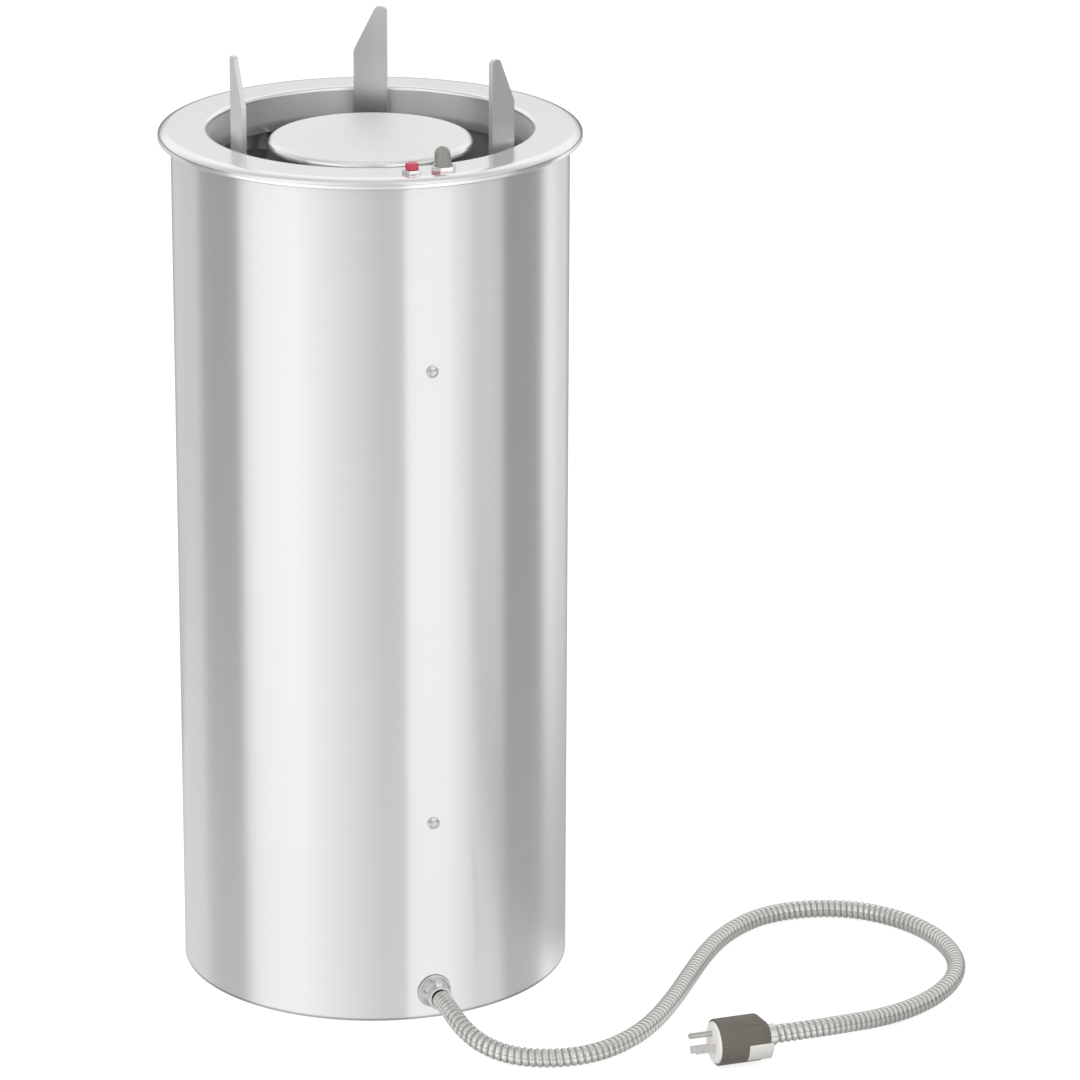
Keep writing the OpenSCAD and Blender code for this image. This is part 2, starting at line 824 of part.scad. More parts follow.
module stop_bumpers() {
    color([0.12, 0.12, 0.12]) rod_places()
        ring(bumper_d / 2, rod_d / 2 + shaft_gap, floor_top, floor_top + bumper_h, FN_SMALL);
}

// Carrier

module plate_disc() {
    outline = [
        [0, disc_top],
        [disc_r, disc_top],
        [disc_r, disc_top - disc_rim],
        [disc_r - disc_t, disc_top - disc_rim],
        [disc_r - disc_t, disc_under],
        [0, disc_under]
    ];
    radii = [0, disc_round, 0, 0, disc_round - disc_t, 0];
    color([0.90, 0.90, 0.89]) rotate_extrude($fn = FN_LARGE) polygon(rounded(outline, radii));
}

module disc_hub() {
    plate_under = disc_under - hub_plate_t;
    socket_in = post_d / 2 + shaft_gap;
    color([0.70, 0.70, 0.70]) union() {
        translate([0, 0, plate_under]) cylinder(h = hub_plate_t, r = hub_plate_r, $fn = FN_LARGE);
        ring(socket_in + hub_socket_t, socket_in, plate_under - hub_socket_h, plate_under + over);
    }
}

module foot_screw_places() {
    for (i = [0:foot_screw_count - 1])
        at_angle(rod_az + 45 + i * 360 / foot_screw_count, foot_screw_r) children();
}

module carrier_post() {
    color([0.72, 0.72, 0.72]) difference() {
        union() {
            rod(post_d, spider_top, disc_under - hub_plate_t);
            rod(2 * post_foot_r, spider_top, spider_top + post_foot_t);
        }
        rod(post_d - 2 * post_t, spider_top - over, disc_under);
        foot_screw_places()
            rod(foot_screw_d + 2 * shaft_gap, spider_top - over, spider_top + post_foot_t + over);
    }
}

module carrier_spider() {
    low = spider_top - spider_t;
    color([0.68, 0.68, 0.68]) difference() {
        union() {
            rod(2 * spider_hub_r, low, spider_top);
            for (i = [0:GUIDES - 1]) rotate([0, 0, rod_az + i * 360 / GUIDES]) {
                translate([0, 0, low]) linear_extrude(spider_t) polygon([
                    [0, -arm_root_w / 2],
                    [rod_r, -arm_end_r],
                    [rod_r, arm_end_r],
                    [0, arm_root_w / 2]
                ]);
                translate([rod_r, 0, 0]) rod(2 * arm_end_r, low, spider_top);
            }
        }
        rod_places() rod(bush_d, low - over, spider_top + over);
        rod(post_d - 2 * post_t, low - over, spider_top + over);
        for (i = [0:GUIDES - 1], share = lighten_shares)
            at_angle(rod_az + i * 360 / GUIDES, rod_r * share) rod(lighten_d, low - over, spider_top + over);
        foot_screw_places() rod(foot_screw_d - 2 * shaft_gap, low - over, spider_top + over);
    }
}

module rod_bushes() {
    low = spider_top - bush_h;
    color([0.72, 0.55, 0.30]) rod_places() difference() {
        union() {
            rod(bush_d, low, spider_top);
            rod(bush_flange_d, spider_top - spider_t - bush_flange_t, spider_top - spider_t);
        }
        rod(rod_d + 2 * shaft_gap, low - over, spider_top + over);
    }
}

module foot_screws() {
    foot_top = spider_top + post_foot_t;
    color([0.80, 0.80, 0.79]) foot_screw_places() {
        rod(foot_screw_d - 4 * shaft_gap, spider_top - spider_t, foot_top + over);
        rod(foot_head_d, foot_top, foot_top + foot_head_h);
    }
}

// Guides

// Side outline of a bar: X across its width with the tall edge at the left, Y up
module guide_outline() {
    half = guide_w / 2;
    polygon(rounded(
        [
            [-half, guide_low],
            [-half, guide_high],
            [-half + guide_w * tip_flat_share, guide_high],
            [half, guide_high - guide_slant],
            [half, guide_low]
        ],
        [tip_round, tip_round, tip_round, heel_round, tip_round], 6));
}

module guide_bar(i) {
    color([0.78, 0.78, 0.77]) rotate([0, 0, guide_az + i * 360 / GUIDES]) guide_frame()
        translate([0, guide_t / 2, 0]) rotate([90, 0, 0]) linear_extrude(guide_t) guide_outline();
}

module guide_arms(i) {
    color([0.72, 0.72, 0.71]) rotate([0, 0, guide_az + i * 360 / GUIDES]) guide_frame()
        for (z = [arm_low_z, arm_high_z]) difference() {
            union() {
                translate([pivot_u, pivot_n, 0]) rod(2 * pivot_hub_r, z, z + arm_t);
                translate([guide_w / 2 - arm_grip, guide_t / 2, z])
                    cube([arm_grip + pivot_reach, arm_w, arm_t]);
            }
            translate([pivot_u, pivot_n, 0]) rod(arm_bush_d, z - over, z + arm_t + over);
        }
}

module arm_bushes(i) {
    color([0.72, 0.55, 0.30]) rotate([0, 0, guide_az + i * 360 / GUIDES]) guide_frame()
        translate([pivot_u, pivot_n, 0]) for (z = [arm_low_z, arm_high_z]) difference() {
            union() {
                rod(arm_bush_d, z, z + arm_t);
                rod(arm_lip_d, z - arm_lip_t, z);
                rod(arm_lip_d, z + arm_t, z + arm_t + arm_lip_t);
            }
            rod(pivot_d + 2 * shaft_gap, z - 2 * arm_lip_t, z + arm_t + 2 * arm_lip_t);
        }
}

module pivot_brackets() {
    top = tab_under + tab_t;
    color([0.75, 0.75, 0.74]) difference() {
        intersection() {
            union() {
                pivot_places() rod(2 * ear_r, tab_under, top);
                pivot_tabs(tab_under, top);
                difference() {
                    pivot_tabs(tab_under - tab_leg, top - tab_t / 2);
                    rod(2 * (liner_r - shaft_gap - tab_t), tab_under - tab_leg - over, tab_under);
                }
            }
            rod(2 * (liner_r - shaft_gap), tab_under - tab_leg - over, collar_end);
        }
        pivot_places() rod(pivot_stud_d + 2 * shaft_gap, tab_under - over, top + over);
    }
}

// Straight tabs from each pivot out past the liner's wall
module pivot_tabs(z0, z1) {
    guide_places() guide_frame() translate([pivot_u, pivot_n, 0]) rotate([0, 0, -guide_twist])
        translate([-tab_half, 0, z0]) cube([2 * tab_half, liner_r - guide_r, z1 - z0]);
}

module pivot_rods() {
    color([0.82, 0.82, 0.82]) pivot_places() {
        rod(pivot_d, floor_top, tab_under);
        rod(pivot_stud_d, floor_under - foot_stub, floor_top + over);
        rod(pivot_stud_d, tab_under - over, tab_under + tab_t + pivot_nut_h + over);
    }
}

module pivot_nuts() {
    color([0.78, 0.78, 0.77]) pivot_places() {
        hex_nut(pivot_nut_af, pivot_stud_d, tab_under + tab_t, tab_under + tab_t + pivot_nut_h);
        hex_nut(foot_nut_af, pivot_stud_d, floor_under - foot_nut_h, floor_under);
    }
}

// Controls

module switch_body() {
    top = flange_under - switch_seat;
    color([0.18, 0.18, 0.19]) translate([control_half, control_y, 0]) difference() {
        union() {
            translate([-switch_w / 2, -switch_depth / 2, top - switch_h])
                cube([switch_w, switch_depth, switch_h]);
            rod(bushing_d, top - over, body_h + bushing_top);
            for (s = [-1, 1])
                translate([s * switch_w / 4 - tab_blade_w / 2, -tab_blade_t / 2,
                    top - switch_h - tab_blade_h])
                    cube([tab_blade_w, tab_blade_t, tab_blade_h + over]);
        }
        rod(switch_bore_d, lever_z, body_h + bushing_top + over);
        translate([0, 0, lever_z]) sphere(d = lever_d + 2 * seat_gap, $fn = FN_SMALL);
        translate([0, 0, lever_z]) lever_pin(lever_pin_d + 2 * shaft_gap, lever_pin_len + 2 * seat_gap);
    }
}

module switch_nut() {
    color([0.80, 0.80, 0.80]) translate([control_half, control_y, 0])
        hex_nut(lock_nut_af, bushing_d, flange_under - lock_nut_h, flange_under);
}

module boot_nut() {
    color([0.88, 0.86, 0.85]) translate([control_half, control_y, 0]) difference() {
        hex_nut(boot_nut_af, bushing_d, body_h, body_h + boot_nut_h);
        rod(2 * boot_dish_r, body_h + boot_nut_h - boot_dish_h, body_h + boot_nut_h + over);
    }
}

module lever_frame() {
    translate([control_half, control_y, lever_z]) rotate([-lever_tilt, 0, 0]) children();
}

// Cross pin that the lever turns on
module lever_pin(d, len) {
    rotate([0, 90, 0]) cylinder(h = len, d = d, center = true, $fn = FN_SMALL);
}

module toggle_lever() {
    color([0.75, 0.75, 0.75]) lever_frame() union() {
        sphere(d = lever_d, $fn = FN_SMALL);
        lever_pin(lever_pin_d, lever_pin_len);
        rod(lever_d, 0, lever_len - lever_d / 2);
        translate([0, 0, lever_len - lever_d / 2]) sphere(d = lever_d, $fn = FN_SMALL);
    }
}

module toggle_boot() {
    tip = boot_rise + lever_drop;
    color([0.52, 0.54, 0.51]) lever_frame() difference() {
        union() {
            rod(boot_d, lever_drop, tip - boot_d / 2);
            translate([0, 0, tip - boot_d / 2]) sphere(d = boot_d, $fn = FN_SMALL);
        }
        sphere(r = boot_sphere_r, $fn = FN_LARGE);
        rod(lever_d + 2 * seat_gap, 0, lever_len - lever_d / 2);
        translate([0, 0, lever_len - lever_d / 2]) sphere(d = lever_d + 2 * seat_gap, $fn = FN_SMALL);
    }
}

module lamp_body() {
    color([0.85, 0.84, 0.80]) translate([-control_half, control_y, 0]) union() {
        rod(lamp_hole_d, flange_under - lamp_body_len + tab_blade_h, body_h + bezel_h);
        rod(lamp_flange_d, flange_under - lamp_flange_t, flange_under);
        for (s = [-1, 1])
            translate([s * lamp_tab_half - tab_blade_t / 2, -tab_blade_w / 4, flange_under - lamp_body_len])
                cube([tab_blade_t, tab_blade_w / 2, tab_blade_h + over]);
    }
}

module lamp_bezel() {
    color([0.88, 0.88, 0.88]) translate([-control_half, control_y, 0])
        hex_nut(bezel_af, lamp_hole_d + 2 * shaft_gap, body_h, body_h + bezel_h);
}

module lamp_lens() {
    top = body_h + bezel_h + lens_h;
    color([0.80, 0.25, 0.33]) translate([-control_half, control_y, 0])
        rotate_extrude($fn = FN_SMALL) polygon(rounded(
            [[0, body_h + bezel_h], [lens_d / 2, body_h + bezel_h], [lens_d / 2, top], [0, top]],
            [0, 0, lens_round, 0]));
}

// Lead

module conduit_connector() {
    near = shroud_in - stem_in;
    body_z = shroud_r + washer_t;
    outline = [
        [stem_bore_d / 2, near],
        [stem_d / 2, near],
        [stem_d / 2, shroud_r],
        [washer_d / 2, shroud_r],
        [washer_d / 2, body_z],
        [body_d / 2, body_z],
        [body_d / 2, body_z + body_len - body_taper],
        [throat_d / 2, body_z + body_len],
        [throat_d / 2, connector_end],
        [stem_bore_d / 2, connector_end]
    ];
    radii = [0, 0, 0, 0, washer_round, 0, body_round, neck_round, throat_round, 0];
    color([0.82, 0.82, 0.82]) difference() {
        translate([0, 0, connector_z]) rotate([90, 0, 0])
            rotate_extrude($fn = FN_LARGE) polygon(rounded(outline, radii));
        translate([0, throat_h / 2 - connector_end, connector_z])
            cylinder(h = throat_d, d = pinch_d, $fn = FN_SMALL);
    }
}

module connector_locknut() {
    near = shroud_in - locknut_seat - locknut_h;
    color([0.75, 0.75, 0.75]) difference() {
        front_rod(locknut_af * 2 / sqrt(3), near, near + locknut_h, connector_z, 6);
        front_rod(stem_d, near - over, near + locknut_h + over, connector_z);
    }
}

module connector_screw() {
    color([0.70, 0.70, 0.70]) translate([0, throat_h / 2 - connector_end, connector_z]) {
        rod(pinch_d - 2 * shaft_gap, throat_d / 2 - pinch_sink, throat_d / 2 + pinch_head_h / 2);
        rod(pinch_head_d, throat_d / 2 + seat_gap, throat_d / 2 + seat_gap + pinch_head_h);
    }
}

module conduit() {
    path = curve(CONDUIT_POINTS, curve_steps);
    at = lengths(path);
    total = at[len(at) - 1];
    tables = [for (axis = [0:2]) [for (i = [0:len(path) - 1]) [at[i], path[i][axis]]]];
    crests = 2 * conduit_ribs;
    bores = ceil(conduit_ribs / bore_step);
    outer = [for (i = [0:crests])
        each path_ring(tables, total * i / crests, total,
            conduit_d / 2 - (i % 2 == 0 ? rib_depth : 0), conduit_sides)];
    inner = [for (i = [0:bores])
        each path_ring(tables, total * i / bores, total, bore_d / 2, conduit_sides)];
    base = len(outer);
    faces = concat(
        [for (i = [0:crests - 1])
            each band(i * conduit_sides, (i + 1) * conduit_sides, conduit_sides, false)],
        [for (i = [0:bores - 1])
            each band(base + i * conduit_sides, base + (i + 1) * conduit_sides, conduit_sides, true)],
        band(0, base, conduit_sides, true),
        band(crests * conduit_sides, base + bores * conduit_sides, conduit_sides, false)
    );
    echo(conduit_length = total, rib_pitch = total / conduit_ribs, carrier_travel = travel);
    color([0.72, 0.72, 0.71]) polyhedron(points = concat(outer, inner), faces = faces, convexity = 10);
}

// Plug

module plug_frame() {
    translate([plug_x, plug_y, plug_z]) rotate([plug_roll, 0, 0]) rotate([0, 90, 0]) children();
}

// A revolve about the plug's axis, from [radius, distance behind the front edge]
module plug_turned(outline, radii) {
    plug_frame() rotate_extrude($fn = FN_LARGE) polygon(rounded(outline, radii));
}

module plug_shell() {
    r = plug_d / 2;
    mouth = face_t - face_proud;
    color([0.34, 0.32, 0.30]) plug_turned(
        [
            [0, mouth],
            [r - plug_mouth_wall + shaft_gap, mouth],
            [r - plug_mouth_wall + shaft_gap, 0],
            [r, 0],
            [r, plug_len - plug_chamfer],
            [plug_back_d / 2, plug_len],
            [0, plug_len]
        ],
        [0, 0, 0, plug_mouth_wall / 2, plug_mouth, plug_mouth, 0]);
}

module plug_face() {
    color([0.80, 0.79, 0.76]) plug_turned(
        [
            [0, -face_proud],
            [face_d / 2, -face_proud],
            [face_d / 2, face_t - face_proud],
            [0, face_t - face_proud]
        ],
        [0, face_round, 0, 0]);
}

module plug_blades() {
    color([0.75, 0.75, 0.75]) plug_frame() for (s = [-1, 1])
        translate([blade_shift, s * blade_half_gap, -face_proud]) difference() {
            translate([-blade_w / 2, -blade_t / 2, -blade_len]) cube([blade_w, blade_t, blade_len]);
            translate([0, blade_t, blade_hole_in - blade_len]) rotate([90, 0, 0])
                cylinder(h = 2 * blade_t, d = blade_hole_d, $fn = FN_SMALL);
        }
}

module ground_pin() {
    color([0.75, 0.75, 0.75]) plug_frame() translate([blade_shift - pin_offset, 0, -face_proud]) union() {
        translate([0, 0, pin_d / 2 - pin_len]) cylinder(h = pin_len - pin_d / 2, d = pin_d, $fn = FN_SMALL);
        translate([0, 0, pin_d / 2 - pin_len]) sphere(d = pin_d, $fn = FN_SMALL);
    }
}

module plug_ferrule() {
    color([0.60, 0.60, 0.60]) plug_frame()
        ring(ferrule_d / 2, bore_d / 2, plug_len, plug_len + ferrule_len, FN_SMALL);
}

outer_shroud();
top_flange();
inner_liner();
insulation();
base_ring();
base_pan();
base_screws();
well_floor();
heating_element();
element_clips();
thermostat();
terminal_block();
supply_leads();
element_leads();
riser_leads();
wiring_raceway();
raceway_screws();
rod_brackets();
guide_rods();
rod_nuts();
lift_springs();
upper_spring_plugs();
stop_bumpers();
pivot_brackets();
pivot_rods();
pivot_nuts();
plate_disc();
disc_hub();
carrier_post();
carrier_spider();
rod_bushes();
lower_spring_plugs();
foot_screws();
guide_bar(0);  // guide_bar_1
guide_bar(1);  // guide_bar_2
guide_bar(2);  // guide_bar_3
guide_arms(0);  // guide_arms_1
guide_arms(1);  // guide_arms_2
guide_arms(2);  // guide_arms_3
arm_bushes(0);  // arm_bushes_1
arm_bushes(1);  // arm_bushes_2
arm_bushes(2);  // arm_bushes_3
switch_body();
switch_nut();
boot_nut();
toggle_lever();
toggle_boot();
lamp_body();
lamp_bezel();
lamp_lens();
conduit_connector();
connector_locknut();
connector_screw();
conduit();
plug_shell();
plug_face();
plug_blades();
ground_pin();
plug_ferrule();
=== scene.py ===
"""Looks of the heated plate dispenser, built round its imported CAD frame. All lengths are in metres."""

import json
import math

import bmesh
import bpy
import numpy as np
from mathutils import Matrix, Vector


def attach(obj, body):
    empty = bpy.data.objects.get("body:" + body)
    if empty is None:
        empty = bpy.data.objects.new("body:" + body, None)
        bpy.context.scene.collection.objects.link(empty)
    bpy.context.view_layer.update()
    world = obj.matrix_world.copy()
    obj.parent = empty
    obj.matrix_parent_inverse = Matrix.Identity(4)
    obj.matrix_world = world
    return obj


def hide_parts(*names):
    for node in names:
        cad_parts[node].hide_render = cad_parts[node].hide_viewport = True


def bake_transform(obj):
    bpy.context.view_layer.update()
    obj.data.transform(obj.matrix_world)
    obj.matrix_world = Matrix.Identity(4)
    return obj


# Camera, as fitted to the ellipses in the photograph
CAMERA_PLACE = (-1.25329, -4.05121, 1.81331)
CAMERA_RIGHT = (0.94541549, -0.32584148, 0.0041088)
CAMERA_UP = (0.10134244, 0.30597771, 0.94662947)
CAMERA_AHEAD = (0.30970834, 0.89454177, -0.32229764)
CAMERA_LENS = 176.63
CAMERA_SENSOR = 36
CAMERA_REACH = 50

# Route of the conduit, as in the CAD source
CONDUIT_START = (0.0, -0.1835, 0.0244)
CONDUIT_END = (0.241, -0.33, 0.02)
CONDUIT_FREE = (
    (0.000, -0.2230, 0.0229), (0.003, -0.2400, 0.0192), (0.010, -0.2560, 0.0146),
    (0.022, -0.2710, 0.0108), (0.038, -0.2830, 0.0088), (0.058, -0.2910, 0.0081),
    (0.079, -0.2945, 0.0081), (0.100, -0.2920, 0.0081), (0.122, -0.2830, 0.0081),
    (0.148, -0.2650, 0.0081), (0.174, -0.2390, 0.0081), (0.202, -0.2040, 0.0081),
    (0.228, -0.1680, 0.0081), (0.253, -0.1340, 0.0081), (0.278, -0.1050, 0.0081),
    (0.304, -0.0830, 0.0081), (0.330, -0.0690, 0.0081), (0.356, -0.0640, 0.0081),
    (0.381, -0.0660, 0.0081), (0.405, -0.0740, 0.0081), (0.426, -0.0890, 0.0081),
    (0.443, -0.1110, 0.0081), (0.455, -0.1380, 0.0081), (0.460, -0.1680, 0.0081),
    (0.458, -0.1990, 0.0081), (0.449, -0.2270, 0.0081), (0.433, -0.2520, 0.0081),
    (0.411, -0.2730, 0.0081), (0.386, -0.2890, 0.0084), (0.361, -0.3020, 0.0102),
    (0.336, -0.3130, 0.0132), (0.312, -0.3215, 0.0166), (0.288, -0.3280, 0.0192),
)
CURVE_STEPS = 8
CORD_POINT_STEP = 4

# Conduit's strip and its mesh
CONDUIT_D = 0.0155
CONDUIT_BORE = 0.0104
CONDUIT_GROOVE = 0.001
CONDUIT_RIBS = 182
CONDUIT_SIDES = 28
RINGS_PER_RIB = 11
RIM_TURNS = 0.4

# Places, sizes and names of nodes, as in the CAD source
SPRING_TOP = 0.675
SPRING_LOW = 0.525
SPRING_MEAN_R = 0.0065
ROD_R = 0.1343
ROD_ANGLES = (112.1, 232.1, 352.1)
TOGGLE_PLACE = (0.0132, -0.1539854)
LAMP_PLACE = (-0.0132, -0.1539854)
FLANGE_TOP = 0.730
LEVER_PIVOT_Z = 0.728
LEVER_TILT = -12
CONNECTOR_Z = 0.0244
SHROUD_R = 0.1645
PLUG_Y = -0.33
PLUG_Z = 0.02
PLUG_R = 0.0195
ON_CORD = ("plug_shell", "plug_face", "plug_blades", "ground_pin", "plug_ferrule")

# Brushed sheet: its fine lines, and the heights of the shroud's painted shade: a contact shadow at its foot
# and the shadow under the flange's hem at its head
FINE_LINES = 5500
SHROUD_PAINTED_SHADE_ENDS = (0.0026, 0.7192)
PAINTED_SHADE_FADE = 0.0006

# Points nearer than this become one
WELD_DISTANCE = 1e-6


def linear(value):
    """One sRGB channel of 0 to 255 as a linear one."""
    share = value / 255
    return share / 12.92 if share <= 0.04045 else ((share + 0.055) / 1.055) ** 2.4


def rgb(red, green=None, blue=None):
    """Linear colour with alpha from sRGB channels; one channel alone is a grey."""
    green = red if green is None else green
    blue = red if blue is None else blue
    return (linear(red), linear(green), linear(blue), 1.0)


def shade(colour, share):
    """A colour made darker or lighter by a share."""
    return tuple(min(1.0, c * share) for c in colour[:3]) + (1.0,)


# Frame

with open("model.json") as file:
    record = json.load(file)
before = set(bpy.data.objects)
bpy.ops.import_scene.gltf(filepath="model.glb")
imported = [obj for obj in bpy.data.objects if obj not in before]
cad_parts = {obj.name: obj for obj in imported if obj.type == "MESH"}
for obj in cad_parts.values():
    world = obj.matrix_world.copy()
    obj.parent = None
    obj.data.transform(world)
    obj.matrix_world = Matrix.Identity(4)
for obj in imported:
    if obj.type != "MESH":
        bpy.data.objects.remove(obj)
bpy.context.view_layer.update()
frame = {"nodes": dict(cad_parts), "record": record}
nodes = frame["nodes"]

# Camera

camera_data = bpy.data.cameras.new("camera")
camera_data.lens = CAMERA_LENS
camera_data.sensor_width = CAMERA_SENSOR
camera_data.clip_end = CAMERA_REACH
camera = bpy.data.objects.new("camera", camera_data)
bpy.context.scene.collection.objects.link(camera)
camera.matrix_world = Matrix([
    [CAMERA_RIGHT[i], CAMERA_UP[i], -CAMERA_AHEAD[i], CAMERA_PLACE[i]] for i in range(3)
] + [[0, 0, 0, 1]])
bpy.context.scene.camera = camera


# Mesh helpers

def mesh_piece(name, points, faces, material, smooth=True):
    """A new mesh object in the part's frame."""
    mesh = bpy.data.meshes.new(name)
    mesh.from_pydata([tuple(p) for p in points], [], faces)
    mesh.update()
    if smooth:
        mesh.polygons.foreach_set("use_smooth", [True] * len(mesh.polygons))
    obj = bpy.data.objects.new(name, mesh)
    bpy.context.scene.collection.objects.link(obj)
    mesh.materials.append(material)
    return obj


def curve_through(points, steps):
    """Smooth curve through points, the one that the CAD source uses."""
    p = np.array(points, float)
    ends = np.vstack([2 * p[0] - p[1], p, 2 * p[-1] - p[-2]])
    out = []
    for i in range(len(p) - 1):
        a, b, c, d = ends[i:i + 4]
        for j in range(steps):
            t = j / steps
            out.append((2 * b + (c - a) * t + (2 * a - 5 * b + 4 * c - d) * t * t
                        + (3 * b - a - 3 * c + d) * t ** 3) / 2)
    out.append(p[-1])
    return np.array(out)


def even_points(path, count):
    """The path again with points at even distances, and its length."""
    step = np.linalg.norm(np.diff(path, axis=0), axis=1)
    at = np.concatenate([[0], np.cumsum(step)])
    want = np.linspace(0, at[-1], count)
    return np.stack([np.interp(want, at, path[:, k]) for k in range(3)], axis=1), at[-1]


def frames_along(path):
    """Unit side and up at each point of a path that never runs upright."""
    tangent = np.gradient(path, axis=0)
    tangent /= np.linalg.norm(tangent, axis=1)[:, None]
    side = np.cross(tangent, np.array([0.0, 0.0, 1.0]))
    side /= np.linalg.norm(side, axis=1)[:, None]
    return side, np.cross(side, tangent)


def grid_faces(rings, sides, start=0, flip=False):
    """Quads between successive closed rings of points."""
    faces = []
    for i in range(rings - 1):
        for k in range(sides):
            a = start + i * sides + k
            b = start + i * sides + (k + 1) % sides
            quad = (a, b, b + sides, a + sides)
            faces.append(quad[::-1] if flip else quad)
    return faces


def weld(obj):
    """Joins points that coincide, in the new piece's own mesh."""
    work = bmesh.new()
    work.from_mesh(obj.data)
    bmesh.ops.remove_doubles(work, verts=work.verts, dist=WELD_DISTANCE)
    work.to_mesh(obj.data)
    work.free()
    obj.data.polygons.foreach_set("use_smooth", [True] * len(obj.data.polygons))


def turned(name, profile, matrix, material, sides, radius=None, first=None, count=0):
    """A lathe-turned piece from [radius, height] pairs; radius(angle, r, h) may vary it round the axis.

    The first count bands of the profile may have a material of their own.
    """
    points = []
    for r, h in profile:
        for k in range(sides):
            a = 2 * math.pi * k / sides
            q = radius(a, r, h) if radius else r
            points.append(matrix @ Vector((q * math.cos(a), q * math.sin(a), h)))
    obj = mesh_piece(name, points, grid_faces(len(profile), sides), material)
    if first:
        rest = len(profile) - 1 - count
        obj.data.materials.append(first)
        obj.data.polygons.foreach_set("material_index", [1] * (count * sides) + [0] * (rest * sides))
    if profile[0] == profile[-1] or min(profile[0][0], profile[-1][0]) < WELD_DISTANCE:
        weld(obj)
    return obj


def arc(cx, cy, r, a0, a1, count):
    """Points of an arc in [radius, height], angles in degrees."""
    return [
        (cx + r * math.cos(math.radians(a0 + (a1 - a0) * i / count)),
         cy + r * math.sin(math.radians(a0 + (a1 - a0) * i / count)))
        for i in range(count + 1)
    ]


# Node helpers

class Nodes:
    """A node tree, with short ways to add to it. An input is a plain value or another node's output."""

    def __init__(self, owner):
        owner.use_nodes = True
        self.tree = owner.node_tree
        self.tree.nodes.clear()

    def set(self, made, key, value):
        socket = made.inputs[key]
        if isinstance(value, bpy.types.NodeSocket):
            self.tree.links.new(value, socket)
        else:
            socket.default_value = value

    def add(self, kind, settings=None, **inputs):
        """A new node with its settings, and with inputs by name."""
        made = self.tree.nodes.new(kind)
        for key, value in (settings or {}).items():
            setattr(made, key, value)
        for key, value in inputs.items():
            self.set(made, key.replace("_", " "), value)
        return made

    def add_in_order(self, kind, settings, *inputs):
        """A new node with its settings, and with its first inputs in order."""
        made = self.add(kind, settings)
        for index, value in enumerate(inputs):
            self.set(made, index, value)
        return made

    def math(self, operation, *values):
        return self.add_in_order("ShaderNodeMath", {"operation": operation}, *values).outputs[0]

    def measure(self, operation, *vectors):
        """A number from vectors, such as a length or a dot product."""
        made = self.add_in_order("ShaderNodeVectorMath", {"operation": operation}, *vectors)
        return made.outputs["Value"]

    def place(self):
        return self.add("ShaderNodeTexCoord").outputs["Object"]

    def parts(self, vector):
        """The X, Y and Z of a vector."""
        return self.add("ShaderNodeSeparateXYZ", Vector=vector).outputs

    def ranged(self, value, start, end, low=0, high=1):
        """Takes a value from the range of start to end into that of low to high."""
        made = self.add("ShaderNodeMapRange", Value=value)
        for key, limit in zip(("From Min", "From Max", "To Min", "To Max"), (start, end, low, high)):
            self.set(made, key, limit)
        return made.outputs[0]

    def mix(self, share, first, second, how="MIX"):
        """Mixes two colours."""
        made = self.add("ShaderNodeMix", {"data_type": "RGBA", "blend_type": how})
        for index, value in ((0, share), (6, first), (7, second)):
            self.set(made, index, value)
        return made.outputs[2]

    def mix_shaders(self, share, first, second):
        return self.add_in_order("ShaderNodeMixShader", None, share, first, second).outputs[0]

    def ramp(self, value, stops):
        """A grey ramp with stops of (position, level)."""
        made = self.add_in_order("ShaderNodeValToRGB", None, value)
        elements = made.color_ramp.elements
        while len(elements) > 1:
            elements.remove(elements[-1])
        elements[0].position = stops[0][0]
        elements[0].color = (stops[0][1],) * 3 + (1,)
        for position, level in stops[1:]:
            elements.new(position).color = (level,) * 3 + (1,)
        return made.outputs[0]


class Shading(Nodes):
    """A new material with its Principled shader, and short ways to texture it."""

    def __init__(self, name):
        self.material = bpy.data.materials.new(name)
        super().__init__(self.material)
        self.shader = self.add("ShaderNodeBsdfPrincipled")
        self.add("ShaderNodeOutputMaterial", Surface=self.shader.outputs["BSDF"])

    def put(self, **inputs):
        for key, value in inputs.items():
            self.set(self.shader, key.replace("_", " "), value)

    def scaled(self, vector, scale):
        return self.add("ShaderNodeMapping", Vector=vector, Scale=scale).outputs[0]

    def round_place(self, vector, along, up, out):
        """Coordinates that wrap round the upright axis: length along the turn, height, radius."""
        x, y, z = self.parts(vector)
        angle = self.math("ARCTAN2", y, x)
        flat = self.math("SQRT", self.math("ADD", self.math("MULTIPLY", x, x), self.math("MULTIPLY", y, y)))
        made = self.add(
            "ShaderNodeCombineXYZ",
            X=self.math("MULTIPLY", angle, along),
            Y=self.math("MULTIPLY", z, up),
            Z=self.math("MULTIPLY", flat, out),
        )
        return made.outputs[0]

    def noise(self, vector, scale, detail=3.0, rough=0.55):
        made = self.add("ShaderNodeTexNoise", Vector=vector, Scale=scale, Detail=detail, Roughness=rough)
        return made.outputs["Fac"]

    def spread(self, value, low, high, start=0.3, end=0.7):
        """Maps a texture's middle values to a range."""
        return self.ranged(value, start, end, low, high)

    def tones(self, value, colour, dark, light):
        """A colour that a texture's middle values take from one share of it to another."""
        return self.mix(self.spread(value, 0, 1), shade(colour, dark), shade(colour, light))

    def bump(self, height, strength, distance):
        made = self.add("ShaderNodeBump", Height=height, Strength=strength, Distance=distance)
        return made.outputs["Normal"]


# Materials

